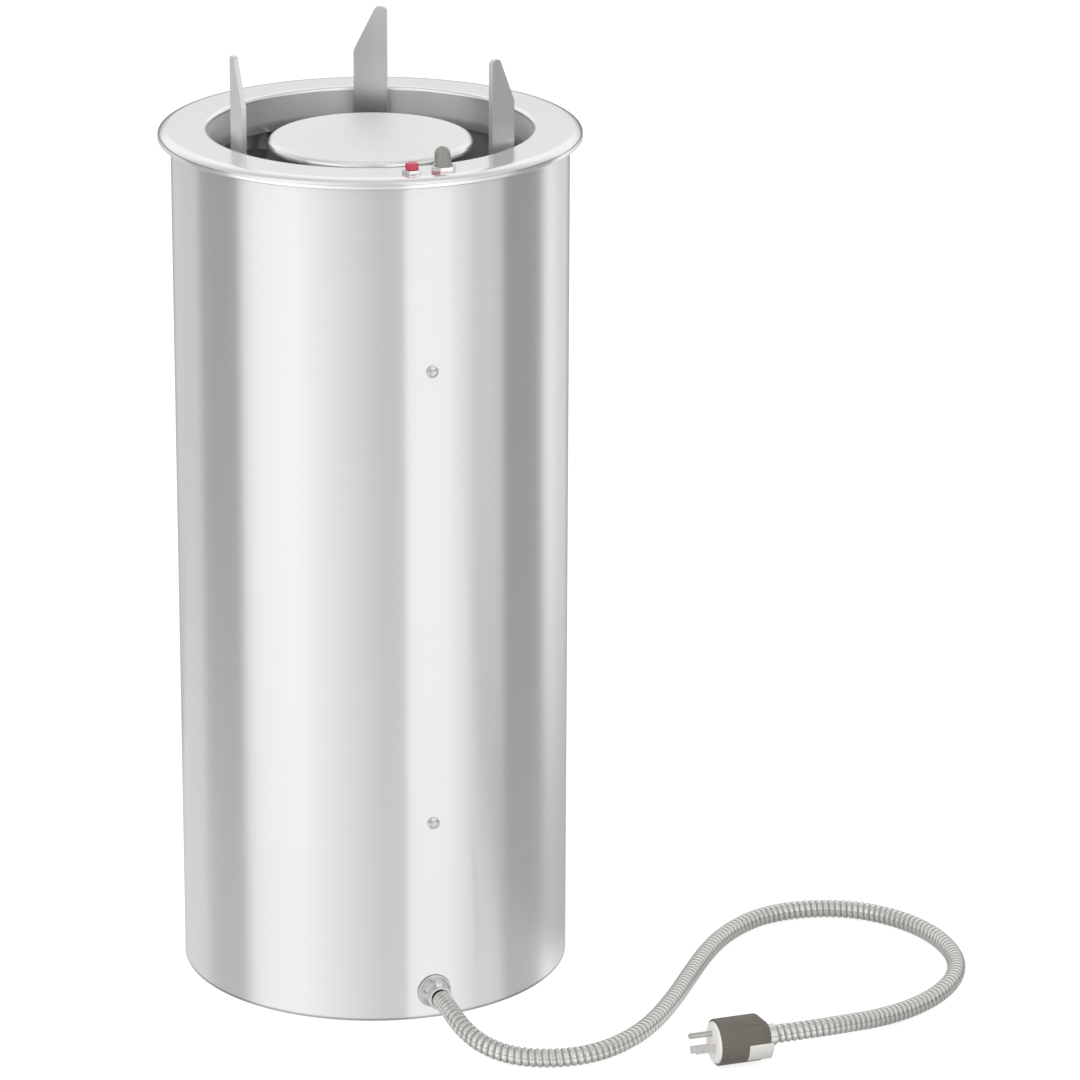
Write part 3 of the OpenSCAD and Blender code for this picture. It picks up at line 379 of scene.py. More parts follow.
def brushed(name, colour, rough, grain, contrast=0.05, streak=0.06, aniso=0.0, bump=0.05, edge_rough=0.0,
            painted_shade_ends=None):
    """Brushed sheet: fine lines round the axis, turned on a flat top, upright, or in no direction.

    edge_rough is the roughness where a flat top rolls over. The painted shade ends are two heights: painted
    shade darkens an upright sheet's foot up to the first, and its head from the second upwards.
    """
    s = Shading(name)
    place = s.place()
    if grain == "round":
        fine = s.round_place(place, 6, FINE_LINES, 40)
        soft = s.round_place(place, 1.5, 60, 8)
    elif grain == "turned":
        fine = s.round_place(place, 5, 40, FINE_LINES)
        soft = s.round_place(place, 1.2, 20, 60)
    elif grain == "up":
        fine = s.scaled(place, (FINE_LINES, FINE_LINES, 25))
        soft = s.scaled(place, (60, 60, 2))
    else:
        fine = s.scaled(place, (FINE_LINES / 6, FINE_LINES / 6, FINE_LINES / 6))
        soft = s.scaled(place, (25, 25, 25))
    line = s.noise(fine, 1.0, 2.0)
    cloud = s.noise(soft, 1.0, 3.0)
    mixed = s.math("ADD", s.math("MULTIPLY", line, 0.45), s.math("MULTIPLY", cloud, 0.55))
    dull = s.spread(mixed, rough - streak / 2, rough + streak / 2)
    if edge_rough:
        upward = s.parts(s.add("ShaderNodeTexCoord").outputs["Normal"])["Z"]
        dull = s.math("ADD", dull, s.spread(upward, edge_rough - rough, 0, 0.8, 0.97))
    base = s.tones(mixed, colour, 1 - contrast, 1 + contrast)
    # Painted shade: the base colour is halved at the foot, for a contact shadow, and at the head, for the
    # shadow under the flange's hem
    if painted_shade_ends:
        foot, head = painted_shade_ends
        height = s.parts(place)["Z"]
        low = s.spread(height, 1, 0, foot / 2, foot)
        high = s.spread(height, 0, 1, head, head + PAINTED_SHADE_FADE)
        base = s.mix(s.math("MAXIMUM", low, high), base, shade(colour, 0.5))
    s.put(Base_Color=base, Metallic=1.0, Roughness=dull, Normal=s.bump(line, bump, 0.0002))
    if aniso:
        tangent = s.add("ShaderNodeTangent", {"direction_type": "RADIAL", "axis": "Z"})
        s.put(Anisotropic=aniso, Anisotropic_Rotation=0.25, Tangent=tangent.outputs[0])
    return s.material


def cast(name, colour, rough, grain=900, bump=0.25, metallic=1.0):
    """Cast or plated skin with a fine pebble and soft patches."""
    s = Shading(name)
    place = s.place()
    pebble = s.noise(place, grain, 4.0)
    patch = s.noise(place, grain / 18, 3.0)
    s.put(
        Base_Color=s.tones(patch, colour, 0.9, 1.07),
        Metallic=metallic,
        Roughness=s.spread(pebble, rough - 0.06, rough + 0.08),
        Normal=s.bump(pebble, bump, 0.0004),
    )
    return s.material


def wound_strip(name, colour, painted_groove_shade):
    """Plated strip, bright on its crowns, with painted shade, a little patchy, down in its grooves and all
    through its bore.
    """
    s = Shading(name)
    place = s.place()
    pebble = s.noise(place, 1400.0, 4.0)
    patch = s.noise(place, 90.0, 3.0)
    deep = s.add("ShaderNodeAttribute", {"attribute_name": "groove"}).outputs["Fac"]
    # Painted shade: darker and rougher as deep as the groove goes, fully dark inside the bore, patchy along
    # the strip
    dark = s.math("MULTIPLY", s.spread(deep, 0, 0.75, 0.2, 1.0), s.spread(patch, 0.75, 1.0))
    s.put(
        Base_Color=s.mix(dark, s.tones(pebble, colour, 0.93, 1.06), painted_groove_shade),
        Metallic=1.0,
        Roughness=s.math("ADD", s.spread(pebble, 0.17, 0.26), s.math("MULTIPLY", dark, 0.25)),
        Normal=s.bump(pebble, 0.1, 0.0003),
    )
    return s.material


def spangled(name, colour):
    """Galvanised sheet with its crystal pattern."""
    s = Shading(name)
    place = s.place()
    cell = s.add("ShaderNodeTexVoronoi", {"feature": "F1"}, Vector=place, Scale=130.0)
    fine = s.noise(place, 1500.0, 2.0)
    grey = s.add("ShaderNodeSeparateColor", Color=cell.outputs["Color"]).outputs[0]
    s.put(
        Base_Color=s.mix(s.spread(grey, 0, 1, 0, 1), shade(colour, 0.86), shade(colour, 1.1)),
        Metallic=1.0,
        Roughness=s.spread(grey, 0.34, 0.5, 0, 1),
        Normal=s.bump(fine, 0.12, 0.0002),
    )
    return s.material


def moulded(name, colour, rough, grain=1400, bump=0.12, tone=0.08, coat=0.0):
    """Moulded plastic or rubber with a fine texture and faint cloudiness."""
    s = Shading(name)
    place = s.place()
    fine = s.noise(place, grain, 3.0)
    cloud = s.noise(place, 55.0, 3.0)
    s.put(
        Base_Color=s.tones(cloud, colour, 1 - tone, 1 + tone),
        Roughness=s.spread(fine, rough - 0.05, rough + 0.06),
        Normal=s.bump(fine, bump, 0.0003),
    )
    if coat:
        s.put(Coat_Weight=coat, Coat_Roughness=0.08)
    return s.material


def wool(name, colour):
    """Mineral wool: matted fibres and soft lumps."""
    s = Shading(name)
    place = s.place()
    fibre = s.noise(s.scaled(place, (900, 900, 220)), 1.0, 5.0, 0.7)
    lump = s.noise(place, 60.0, 4.0)
    mixed = s.math("ADD", s.math("MULTIPLY", fibre, 0.5), s.math("MULTIPLY", lump, 0.5))
    s.put(
        Base_Color=s.tones(mixed, colour, 0.7, 1.1),
        Roughness=0.95,
        Normal=s.bump(mixed, 0.8, 0.002),
    )
    return s.material


def clear_lens(name, dark, light, glow_dark, glow_light):
    """Clear coloured moulding, lit a little from inside."""
    s = Shading(name)
    place = s.place()
    swirl = s.noise(place, 320.0, 2.0)
    fine = s.noise(place, 2600.0, 2.0)
    s.put(
        Base_Color=s.mix(s.spread(swirl, 0, 1), dark, light),
        Roughness=s.spread(fine, 0.08, 0.16),
        Transmission_Weight=0.3,
        IOR=1.52,
        Emission_Color=s.mix(s.spread(swirl, 0, 1), glow_dark, glow_light),
        Emission_Strength=0.15,
        Normal=s.bump(fine, 0.04, 0.0002),
    )
    return s.material


def streaked(name, colour):
    """Dark plug shell with streaks along its length."""
    s = Shading(name)
    place = s.place()
    streak = s.noise(s.scaled(place, (60, 900, 900)), 1.0, 3.0)
    fine = s.noise(place, 1600.0, 3.0)
    mixed = s.math("ADD", s.math("MULTIPLY", streak, 0.7), s.math("MULTIPLY", fine, 0.3))
    s.put(
        Base_Color=s.tones(mixed, colour, 0.84, 1.2),
        Roughness=s.spread(streak, 0.4, 0.56),
        Specular_IOR_Level=0.3,
        Normal=s.bump(fine, 0.15, 0.0003),
    )
    return s.material


# Each look: how it is made, its colour, and what else that takes
LOOKS = {
    "shroud_steel": (brushed, rgb(231, 232, 233), dict(
        rough=0.24, grain="round", contrast=0.02, streak=0.02, aniso=1.0, bump=0.02,
        painted_shade_ends=SHROUD_PAINTED_SHADE_ENDS)),
    "polished_steel": (brushed, rgb(239, 239, 238), dict(
        rough=0.2, grain="turned", contrast=0.02, streak=0.04, bump=0.02)),
    # Painted light: the collar is the flange's own steel, given a lighter colour so that the well's wall
    # shows brighter
    "collar_steel": (brushed, rgb(250, 250, 248), dict(
        rough=0.42, grain="round", contrast=0.03, streak=0.04, aniso=1.0, bump=0.03)),
    "disc_steel": (brushed, rgb(240, 240, 239), dict(
        rough=0.44, grain="turned", contrast=0.02, streak=0.04, bump=0.03, edge_rough=0.16)),
    "liner_steel": (brushed, rgb(196, 196, 195), dict(rough=0.45, grain="round", aniso=0.8)),
    "galvanised_sheet": (spangled, rgb(196, 198, 198), {}),
    "zinc_hardware": (cast, rgb(222, 221, 219), dict(rough=0.24, grain=1500, bump=0.1)),
    "connector_casting": (cast, rgb(214, 214, 213), dict(rough=0.13, grain=600, bump=0.5)),
    "rod_steel": (brushed, rgb(218, 218, 218), dict(rough=0.18, grain="up")),
    "guide_steel": (brushed, rgb(226, 226, 225), dict(rough=0.36, grain="up", contrast=0.06)),
    "spring_steel": (brushed, rgb(150, 150, 152), dict(rough=0.3, grain="none")),
    "cast_carrier": (cast, rgb(190, 190, 190), dict(rough=0.42, grain=700, bump=0.35)),
    "bush_bronze": (cast, rgb(196, 156, 96), dict(rough=0.36, grain=1200, bump=0.2)),
    "nylon": (moulded, rgb(206, 192, 150), dict(rough=0.4)),
    "stop_rubber": (moulded, rgb(44), dict(rough=0.7, grain=900, bump=0.3)),
    "gasket_rubber": (moulded, rgb(96, 97, 96), dict(rough=0.6, grain=900, bump=0.2)),
    "mineral_wool": (wool, rgb(214, 200, 150), {}),
    "element_sheath": (cast, rgb(104, 98, 94), dict(rough=0.48, grain=1000)),
    "phenolic": (moulded, rgb(48, 48, 50), dict(rough=0.45)),
    "stat_body": (cast, rgb(186, 182, 172), dict(rough=0.4, bump=0.2, metallic=0.6)),
    "lead_black": (moulded, rgb(38), dict(rough=0.5)),
    "lead_red": (moulded, rgb(176, 52, 44), dict(rough=0.5)),
    "lead_white": (moulded, rgb(222, 222, 216), dict(rough=0.5)),
    "bright_nut": (cast, rgb(240, 232, 230), dict(rough=0.12, grain=1200, bump=0.06)),
    "chrome_bezel": (cast, rgb(236, 236, 237), dict(rough=0.08, grain=1400, bump=0.04)),
    "lever_metal": (brushed, rgb(214, 214, 214), dict(rough=0.2, grain="none")),
    "boot_rubber": (moulded, rgb(129, 133, 126), dict(
        rough=0.3, grain=1300, bump=0.06, tone=0.06, coat=1.0)),
    "lamp_housing": (moulded, rgb(226, 222, 212), dict(rough=0.35)),
    "lamp_red": (clear_lens, rgb(186, 52, 74), dict(
        light=rgb(214, 88, 106), glow_dark=rgb(176, 46, 66), glow_light=rgb(214, 86, 102))),
    "conduit_metal": (wound_strip, rgb(226, 225, 221), dict(painted_groove_shade=rgb(134, 130, 122))),
    "plug_shell": (streaked, rgb(105, 100, 92), {}),
    "plug_face": (moulded, rgb(243, 240, 235), dict(rough=0.3, grain=1300, bump=0.08, tone=0.04, coat=0.2)),
    "plated_contacts": (brushed, rgb(190, 188, 185), dict(rough=0.3, grain="none", bump=0.01)),
    "label_white": (moulded, rgb(220, 219, 213), dict(rough=0.45, grain=900, bump=0.05, tone=0.03)),
}
MADE = {name: maker(name, colour, **more) for name, (maker, colour, more) in LOOKS.items()}

# Each CAD node takes the material of its record slot, but for two with a finish of their own
slot_of = {entry["node"]: entry["material_slot"] for entry in frame["record"]["subparts"]}
own_finish = {"inner_liner": "liner_steel", "plate_disc": "disc_steel"}
for name, obj in nodes.items():
    key = own_finish.get(name, slot_of[name])
    obj.data.materials.clear()
    obj.data.materials.append(MADE[key])

# Conduit: a ribbed strip-wound tube with its bore

start = np.array(CONDUIT_START)
end = np.array(CONDUIT_END)
route = [start - [0, k * CONDUIT_D, 0] for k in (0, 1, 1.5)]
route += [np.array(p) for p in CONDUIT_FREE]
route += [end + [k * CONDUIT_D, 0, 0] for k in (1.5, 1, 0)]
rough_path = curve_through(route, CURVE_STEPS)
path, conduit_length = even_points(rough_path, CONDUIT_RIBS * RINGS_PER_RIB + 1)


def conduit_radius(turns):
    """Radius of the wound strip at a share of a rib: a flat crown, then a narrow groove."""
    t = turns % 1.0
    dip = np.clip((np.abs(t - 0.5) - 0.24) / 0.16, 0, 1)
    return CONDUIT_D / 2 - CONDUIT_GROOVE * dip * dip * (3 - 2 * dip)


def conduit_mesh():
    """Points and faces of the tube and its bore, and how deep in a groove each point is."""
    side, up = frames_along(path)
    angle = 2 * math.pi * np.arange(CONDUIT_SIDES) / CONDUIT_SIDES
    turn = np.linspace(0, CONDUIT_RIBS, len(path))
    rim = np.clip(np.minimum(turn, CONDUIT_RIBS - turn) / RIM_TURNS, 0, 1)
    radius = conduit_radius(turn[:, None] + angle[None, :] / (2 * math.pi))
    radius = CONDUIT_D / 2 - CONDUIT_GROOVE + (radius - CONDUIT_D / 2 + CONDUIT_GROOVE) * rim[:, None]
    ring = np.cos(angle)[None, :, None] * side[:, None, :] + np.sin(angle)[None, :, None] * up[:, None, :]
    outer = (path[:, None, :] + radius[:, :, None] * ring).reshape(-1, 3)
    sparse = slice(None, None, RINGS_PER_RIB)
    inner = (path[sparse, None, :] + CONDUIT_BORE / 2 * ring[sparse]).reshape(-1, 3)
    rings, inner_rings = len(path), len(path[sparse])
    base = len(outer)
    faces = grid_faces(rings, CONDUIT_SIDES)
    faces += grid_faces(inner_rings, CONDUIT_SIDES, base, True)
    last, inner_last = (rings - 1) * CONDUIT_SIDES, base + (inner_rings - 1) * CONDUIT_SIDES
    for k in range(CONDUIT_SIDES):
        m = (k + 1) % CONDUIT_SIDES
        faces.append((k, base + k, base + m, m))
        faces.append((last + m, inner_last + m, inner_last + k, last + k))
    groove = (CONDUIT_D / 2 - radius.reshape(-1)) / CONDUIT_GROOVE
    return np.vstack([outer, inner]), faces, np.concatenate([groove, np.ones(len(inner))])


points, faces, groove = conduit_mesh()
lead = mesh_piece("lead_conduit", points, faces, MADE["conduit_metal"])
# How deep in a groove each point is, which sets the painted shade in the grooves and the bore
groove_depth = lead.data.attributes.new("groove", "FLOAT", "POINT")
groove_depth.data.foreach_set("value", groove.astype(np.float32))
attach(lead, "housing")
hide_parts("conduit")

# Flange: spun sheet with a softly rolled rim, a folded hem, and a collar that hangs in the well

FLANGE_R = 0.175
FLANGE_T = 0.0015
OPENING_R = 0.134
COLLAR_END = 0.699
COLLAR_ROUND = 0.003
ROLL_W = 0.0085
ROLL_H = 0.005
HEM_R = 0.0012
HEM_Z = 0.7227
TOGGLE_HOLE_R = 0.0061
LAMP_HOLE_R = 0.0044


def roll(shrink, count=16):
    """The rolled rim's quarter ellipse, from the flat top to the upright side, or its inner face."""
    centre_r, centre_z = FLANGE_R - ROLL_W, FLANGE_TOP - ROLL_H
    return [
        (centre_r + (ROLL_W - shrink) * math.sin(math.radians(90 * i / count)),
         centre_z + (ROLL_H - shrink) * math.cos(math.radians(90 * i / count)))
        for i in range(count + 1)
    ]


collar_profile = [(OPENING_R, COLLAR_END), (OPENING_R, 0.708), (OPENING_R, 0.718), (OPENING_R, 0.7268)]
flange_profile = (
    collar_profile
    + arc(OPENING_R + COLLAR_ROUND, FLANGE_TOP - COLLAR_ROUND, COLLAR_ROUND, 180, 90, 10)
    + [(0.138, FLANGE_TOP), (0.146, FLANGE_TOP), (0.156, FLANGE_TOP), (0.165, FLANGE_TOP)]
    + roll(0)
    + [(FLANGE_R, HEM_Z)]
    + arc(FLANGE_R - HEM_R, HEM_Z, HEM_R, 0, -180, 10)[1:]
    + [(FLANGE_R - 2 * HEM_R, HEM_Z + HEM_R)]
    + roll(FLANGE_T)[::-1]
    + [(0.156, FLANGE_TOP - FLANGE_T), (0.146, FLANGE_TOP - FLANGE_T)]
    + arc(OPENING_R + COLLAR_ROUND, FLANGE_TOP - COLLAR_ROUND, COLLAR_ROUND - FLANGE_T, 90, 180, 6)
    + [(OPENING_R + FLANGE_T, COLLAR_END), (OPENING_R, COLLAR_END)]
)
flange = turned(
    "rolled_flange", flange_profile, Matrix.Identity(4), MADE["polished_steel"], 240,
    first=MADE["collar_steel"], count=len(collar_profile) - 1,
)


def bored(obj, holes):
    """The piece again with round upright holes through its top: (x, y, radius) each."""
    cutters = []
    for x, y, r in holes:
        work = bmesh.new()
        bmesh.ops.create_cone(work, cap_ends=True, segments=48, radius1=r, radius2=r, depth=0.01)
        mesh = bpy.data.meshes.new("cutter")
        work.to_mesh(mesh)
        work.free()
        cutter = bpy.data.objects.new("cutter", mesh)
        cutter.location = (x, y, FLANGE_TOP)
        bpy.context.scene.collection.objects.link(cutter)
        hole = obj.modifiers.new("hole", "BOOLEAN")
        hole.object = cutter
        hole.solver = "EXACT"
        cutters.append(cutter)
    whole = obj.evaluated_get(bpy.context.evaluated_depsgraph_get())
    obj.data = bpy.data.meshes.new_from_object(whole)
    obj.modifiers.clear()
    for cutter in cutters:
        bpy.data.objects.remove(cutter)


bored(flange, [(*TOGGLE_PLACE, TOGGLE_HOLE_R), (*LAMP_PLACE, LAMP_HOLE_R)])
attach(flange, "housing")
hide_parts("top_flange")

# Connector: a tapered casting on a washer and gasket, with a throat that holds the conduit

WASHER_FACE = SHROUD_R + 0.002
BODY_END = SHROUD_R + 0.011
THROAT_END = SHROUD_R + 0.019
SHANK_END = 0.1553
SHANK_R = 0.0102
CONNECTOR_BORE_R = 0.00625
SOCKET_R = 0.0080
SOCKET_END = THROAT_END - 0.0040
RIDGES = 8
RIDGE_DEPTH = 0.00045
GASKET_BANDS = 11


def cast_ridges(angle, r, h):
    """Shallow wrench flats on the casting's belly, faired into its round shoulders."""
    rise = max(0.0, min(1.0, (h - WASHER_FACE) / 0.002))
    fall = max(0.0, min(1.0, (BODY_END - 0.001 - h) / 0.004))
    share = rise * fall if r > 0.0108 else 0.0
    return r - RIDGE_DEPTH * share * (0.5 + 0.5 * math.cos(RIDGES * angle))


connector_profile = (
    [(CONNECTOR_BORE_R, SHANK_END), (SHANK_R, SHANK_END), (SHANK_R, 0.1600), (SHANK_R, SHROUD_R)]
    + [(0.0141, SHROUD_R)]
    + arc(0.0141, SHROUD_R + 0.0004, 0.0004, -90, 0, 3)
    + arc(0.0137, SHROUD_R + 0.0012, 0.0008, 0, 90, 4)
    + [(0.01285, WASHER_FACE), (0.0126, WASHER_FACE + 0.0003), (0.0128, WASHER_FACE + 0.0007)]
    + [(0.0128, WASHER_FACE + 0.0022), (0.01275, WASHER_FACE + 0.0040), (0.0125, WASHER_FACE + 0.0055)]
    + [(0.0120, WASHER_FACE + 0.0070), (0.0113, WASHER_FACE + 0.0082), (0.0107, BODY_END)]
    + [(0.01035, BODY_END + 0.0006), (0.01022, BODY_END + 0.0016), (0.01025, THROAT_END - 0.0016)]
    + arc(0.00945, THROAT_END - 0.0008, 0.0008, 0, 90, 4)
    + [(SOCKET_R, THROAT_END), (SOCKET_R, SOCKET_END)]
    + [(CONNECTOR_BORE_R, SOCKET_END), (CONNECTOR_BORE_R, SHANK_END)]
)
to_front = Matrix.Translation((0, 0, CONNECTOR_Z)) @ Matrix.Rotation(math.radians(90), 4, "X")
connector = turned(
    "lead_connector", connector_profile, to_front, MADE["connector_casting"], 96, cast_ridges,
    first=MADE["gasket_rubber"], count=GASKET_BANDS,
)
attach(connector, "housing")
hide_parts("conduit_connector")

# The metal doesn't mirror the lead, the connector with its screw, or the plug's CAD nodes
for piece in [lead, connector, nodes["connector_screw"]] + [nodes[name] for name in ON_CORD]:
    piece.visible_glossy = False

# Blank label patch on the plug's shell: its reach along the shell and round it, and its sheet's two faces

LABEL_X = (0.2125, 0.2335)
LABEL_ANGLES = (5.0, -46.0)
LABEL_LAYERS = (0.00006, 0.00032)
LABEL_COLUMNS = 13
LABEL_ROWS = 11


def label_patch():
    """A thin sheet bent round the shell, closed all round."""
    columns, rows = LABEL_COLUMNS, LABEL_ROWS
    x0, x1 = LABEL_X
    a0, a1 = LABEL_ANGLES
    points = []
    for layer in LABEL_LAYERS:
        r = PLUG_R + layer
        for i in range(columns):
            for j in range(rows):
                x = x0 + (x1 - x0) * i / (columns - 1)
                a = math.radians(a0 + (a1 - a0) * j / (rows - 1))
                points.append((x, PLUG_Y - r * math.cos(a), PLUG_Z + r * math.sin(a)))
    count = columns * rows
    faces = []
    for i in range(columns - 1):
        for j in range(rows - 1):
            a = i * rows + j
            quad = (a, a + rows, a + rows + 1, a + 1)
            faces.append(quad)
            faces.append(tuple(count + v for v in quad[::-1]))
    edge = [i * rows for i in range(columns)]
    edge += [(columns - 1) * rows + j for j in range(1, rows)]
    edge += [i * rows + rows - 1 for i in range(columns - 2, -1, -1)]
    edge += [j for j in range(rows - 2, 0, -1)]
    for n, a in enumerate(edge):
        b = edge[(n + 1) % len(edge)]
        faces.append((b, a, count + a, count + b))
    return mesh_piece("plug_label_patch", points, faces, MADE["label_white"])


label = label_patch()
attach(label, "housing")

cord_points = [tuple(p) for p in path[::CORD_POINT_STEP]]
if (len(path) - 1) % CORD_POINT_STEP:
    cord_points.append(tuple(path[-1]))

# Lift springs: close-wound wire between the brackets and the carrier

SPRING_COILS = 75
WIRE_R = 0.00097
WIRE_SIDES = 7
COIL_STEPS = 22


def spring_mesh(x, y):
    """Points and faces of one helix of wire, with its ends closed."""
    count = SPRING_COILS * COIL_STEPS + 1
    turn = np.linspace(0, 2 * math.pi * SPRING_COILS, count)
    height = np.linspace(SPRING_LOW + WIRE_R, SPRING_TOP - WIRE_R, count)
    centre = np.stack([x + SPRING_MEAN_R * np.cos(turn), y + SPRING_MEAN_R * np.sin(turn), height], axis=1)
    out = np.stack([np.cos(turn), np.sin(turn), np.zeros(count)], axis=1)
    upward = np.array([0.0, 0.0, 1.0])
    a = 2 * math.pi * np.arange(WIRE_SIDES) / WIRE_SIDES
    ring = np.cos(a)[None, :, None] * out[:, None, :] + np.sin(a)[None, :, None] * upward[None, None, :]
    points = (centre[:, None, :] + WIRE_R * ring).reshape(-1, 3)
    faces = grid_faces(count, WIRE_SIDES, 0, True)
    faces.append(tuple(range(WIRE_SIDES)))
    faces.append(tuple(range((count - 1) * WIRE_SIDES, count * WIRE_SIDES))[::-1])
    return points, faces


for number, degrees in enumerate(ROD_ANGLES, 1):
    a = math.radians(degrees)
    x, y = ROD_R * math.cos(a), ROD_R * math.sin(a)
    points, faces = spring_mesh(x, y)
    spring = mesh_piece(f"lift_spring_{number}", points, faces, MADE["spring_steel"])
    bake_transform(spring)
    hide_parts("lift_springs")

# Rubber boot over the toggle, with a skirt that sits in the nut's dish

BOOT_SKIRT_Z = 0.73275
BOOT_SIDES = 56
BOOT_DOME_R = 0.0065
BOOT_DOME_Z = 0.0093
BOOT_DOME_H = 0.0071
BOOT_LEAN_FROM = 0.0012
BOOT_LEAN_OVER = 0.005

dome_angles = [math.radians(9 * i) for i in range(11)]
boot_profile = (
    [(0.0, 0.0), (0.0070, 0.0), (0.0075, 0.0003), (0.0075, 0.0010), (0.0072, 0.0014), (0.0070, 0.0019),
     (0.00685, 0.0030), (0.00675, 0.0050), (0.0066, 0.0070), (0.0065, 0.0088)]
    + [(BOOT_DOME_R * math.cos(a), BOOT_DOME_Z + BOOT_DOME_H * math.sin(a)) for a in dome_angles]
)


def boot_mesh():
    """The boot's rings, which lean with the lever from just above the skirt."""
    points = []
    pivot = Vector((*TOGGLE_PLACE, LEVER_PIVOT_Z))
    for r, h in boot_profile:
        share = min(1.0, max(0.0, (h - BOOT_LEAN_FROM) / BOOT_LEAN_OVER))
        lean = Matrix.Rotation(math.radians(LEVER_TILT) * share * share * (3 - 2 * share), 3, "X")
        for k in range(BOOT_SIDES):
            a = 2 * math.pi * k / BOOT_SIDES
            local = Vector((r * math.cos(a), r * math.sin(a), BOOT_SKIRT_Z - LEVER_PIVOT_Z + h))
            points.append(pivot + lean @ local)
    return points, grid_faces(len(boot_profile), BOOT_SIDES)


points, faces = boot_mesh()
boot = mesh_piece("toggle_boot_cap", points, faces, MADE["boot_rubber"])
weld(boot)
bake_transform(boot)
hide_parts("toggle_boot")

# Pilot lens: a low lobed cap

LENS_RISE = 0.003
LENS_LOBES = 6
LENS_DIP = 0.0005
LENS_DIP_AT = -109

lens_profile = (
    [(0.0, 0.0), (0.0055, 0.0), (0.0055, 0.0008), (0.0054, 0.0012), (0.0054, 0.0034)]
    + arc(0.0040, 0.0036, 0.0014, 0, 66, 7)
    + [(0.0038, 0.00505), (0.0024, 0.0052), (0.0, 0.00525)]
)


def lobed(angle, r, h):
    """Round lobes with dips between them round the lens's side."""
    if h < 0.001 or r < 0.003:
        return r
    dip = 0.5 + 0.5 * math.cos(LENS_LOBES * (angle - math.radians(LENS_DIP_AT)))
    return r - LENS_DIP * dip ** 2


lens_at = Matrix.Translation((*LAMP_PLACE, FLANGE_TOP + LENS_RISE))
lens = turned("pilot_lens", lens_profile, lens_at, MADE["lamp_red"], 144, lobed)
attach(lens, "housing")
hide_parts("lamp_lens")

# Softened edges on CAD nodes whose solids have sharp ones

SHARP_ANGLE = 35
JOIN_DISTANCE = 0.00001


def soften(name, width, segments=2):
    """Joins the node's split corners and rounds its sharp edges, by modifiers."""
    obj = nodes[name]
    joined = obj.modifiers.new("join", "WELD")
    joined.merge_threshold = JOIN_DISTANCE
    edge = obj.modifiers.new("edge", "BEVEL")
    edge.width = width
    edge.segments = segments
    edge.limit_method = "ANGLE"
    edge.angle_limit = math.radians(SHARP_ANGLE)
    edge.use_clamp_overlap = True
    edge.harden_normals = True


for name in ("guide_bar_1", "guide_bar_2", "guide_bar_3"):
    soften(name, 0.0006)
for name in ("boot_nut", "lamp_bezel"):
    soften(name, 0.0004)
for name in ("supply_leads", "element_leads", "riser_leads"):
    soften(name, 0.0009, 3)

# Light: studio panels all round, a ceiling, a pale floor, and soft boxes

# Panels by compass angle in degrees: from, to, and the brightness at each end
PANELS = (
    (-180, -152, 1.27, 1.38), (-150, -101, 1.34, 0.80), (-99, -89, 0.80, 0.80),
    (-86.5, -62, 1.30, 1.30), (-59, -49, 1.18, 1.04), (-45, -27, 0.86, 0.86),
    (-23, 6, 0.42, 0.40), (15.5, 26, 1.06, 1.04), (32, 50, 0.86, 0.80), (54, 88, 0.42, 0.42),
    (92, 133, 0.74, 0.76), (137, 161, 0.47, 0.48), (166, 169, 0.52, 0.56), (173, 180, 1.10, 1.25),
)
# Share of the panels' light by the sine of the height angle: the floor's shade, the panels, the horizon
DEPTHS = (
    (-1.0, 0.35), (-0.80, 0.5), (-0.52, 1.0), (-0.14, 1.0),
    (-0.06, 0.32), (0.06, 0.32), (0.14, 1.0), (1.0, 1.0),
)
# The ceiling's brightness from behind the object to over it, where the lamps ahead take over
CEILING = ((-1.0, 1.05), (-0.75, 1.05), (-0.4, 0.76), (0.1, 0.62), (0.3, 0.94))
CEILING_AHEAD = (-0.327, -0.945, 0)
CEILING_HEIGHTS = (0.12, 0.30)
# Ahead, on the camera's side, the panels reach higher and go on overhead at a share of their light
PANELS_HIGHER_AHEAD = 0.28
AHEAD_SHARE = 0.78
AHEAD_REACH = (0.15, 0.5)

# Floor, and a sheet under it that gives its light to the metal: fading outwards, greyer to one side
FLOOR_R = 9.0
FLOOR_DROP = -0.0004
FLOOR_CLOTH = (0.9, 0.9, 0.9, 1)
FLOOR_OWN_WHITE = 0.62
FLOOR_GLOW = 1.3
SHEEN_R = 1.4
SHEEN_FADE = (0.45, 1.35)
SHEEN_SIDE = (0.866, 0.5, 0)
SHEEN_TURN = (0.05, 0.15)
SHEEN_SHARES = (0.3, 0.78)
SHEEN_LEVELS = (1.0, 0.5)
STAGE_SIDES = 96
STAGE_RINGS = (0.2, 0.5, 0.8, 1.0)

# Soft boxes: name, place, target, size and watts
SOFT_BOXES = (
    ("key", (-1.6, -2.2, 2.6), (0, 0, 0.5), (1.6, 1.6), 34),
    ("fill", (2.2, -1.8, 1.6), (0, 0, 0.4), (1.8, 1.8), 14),
)


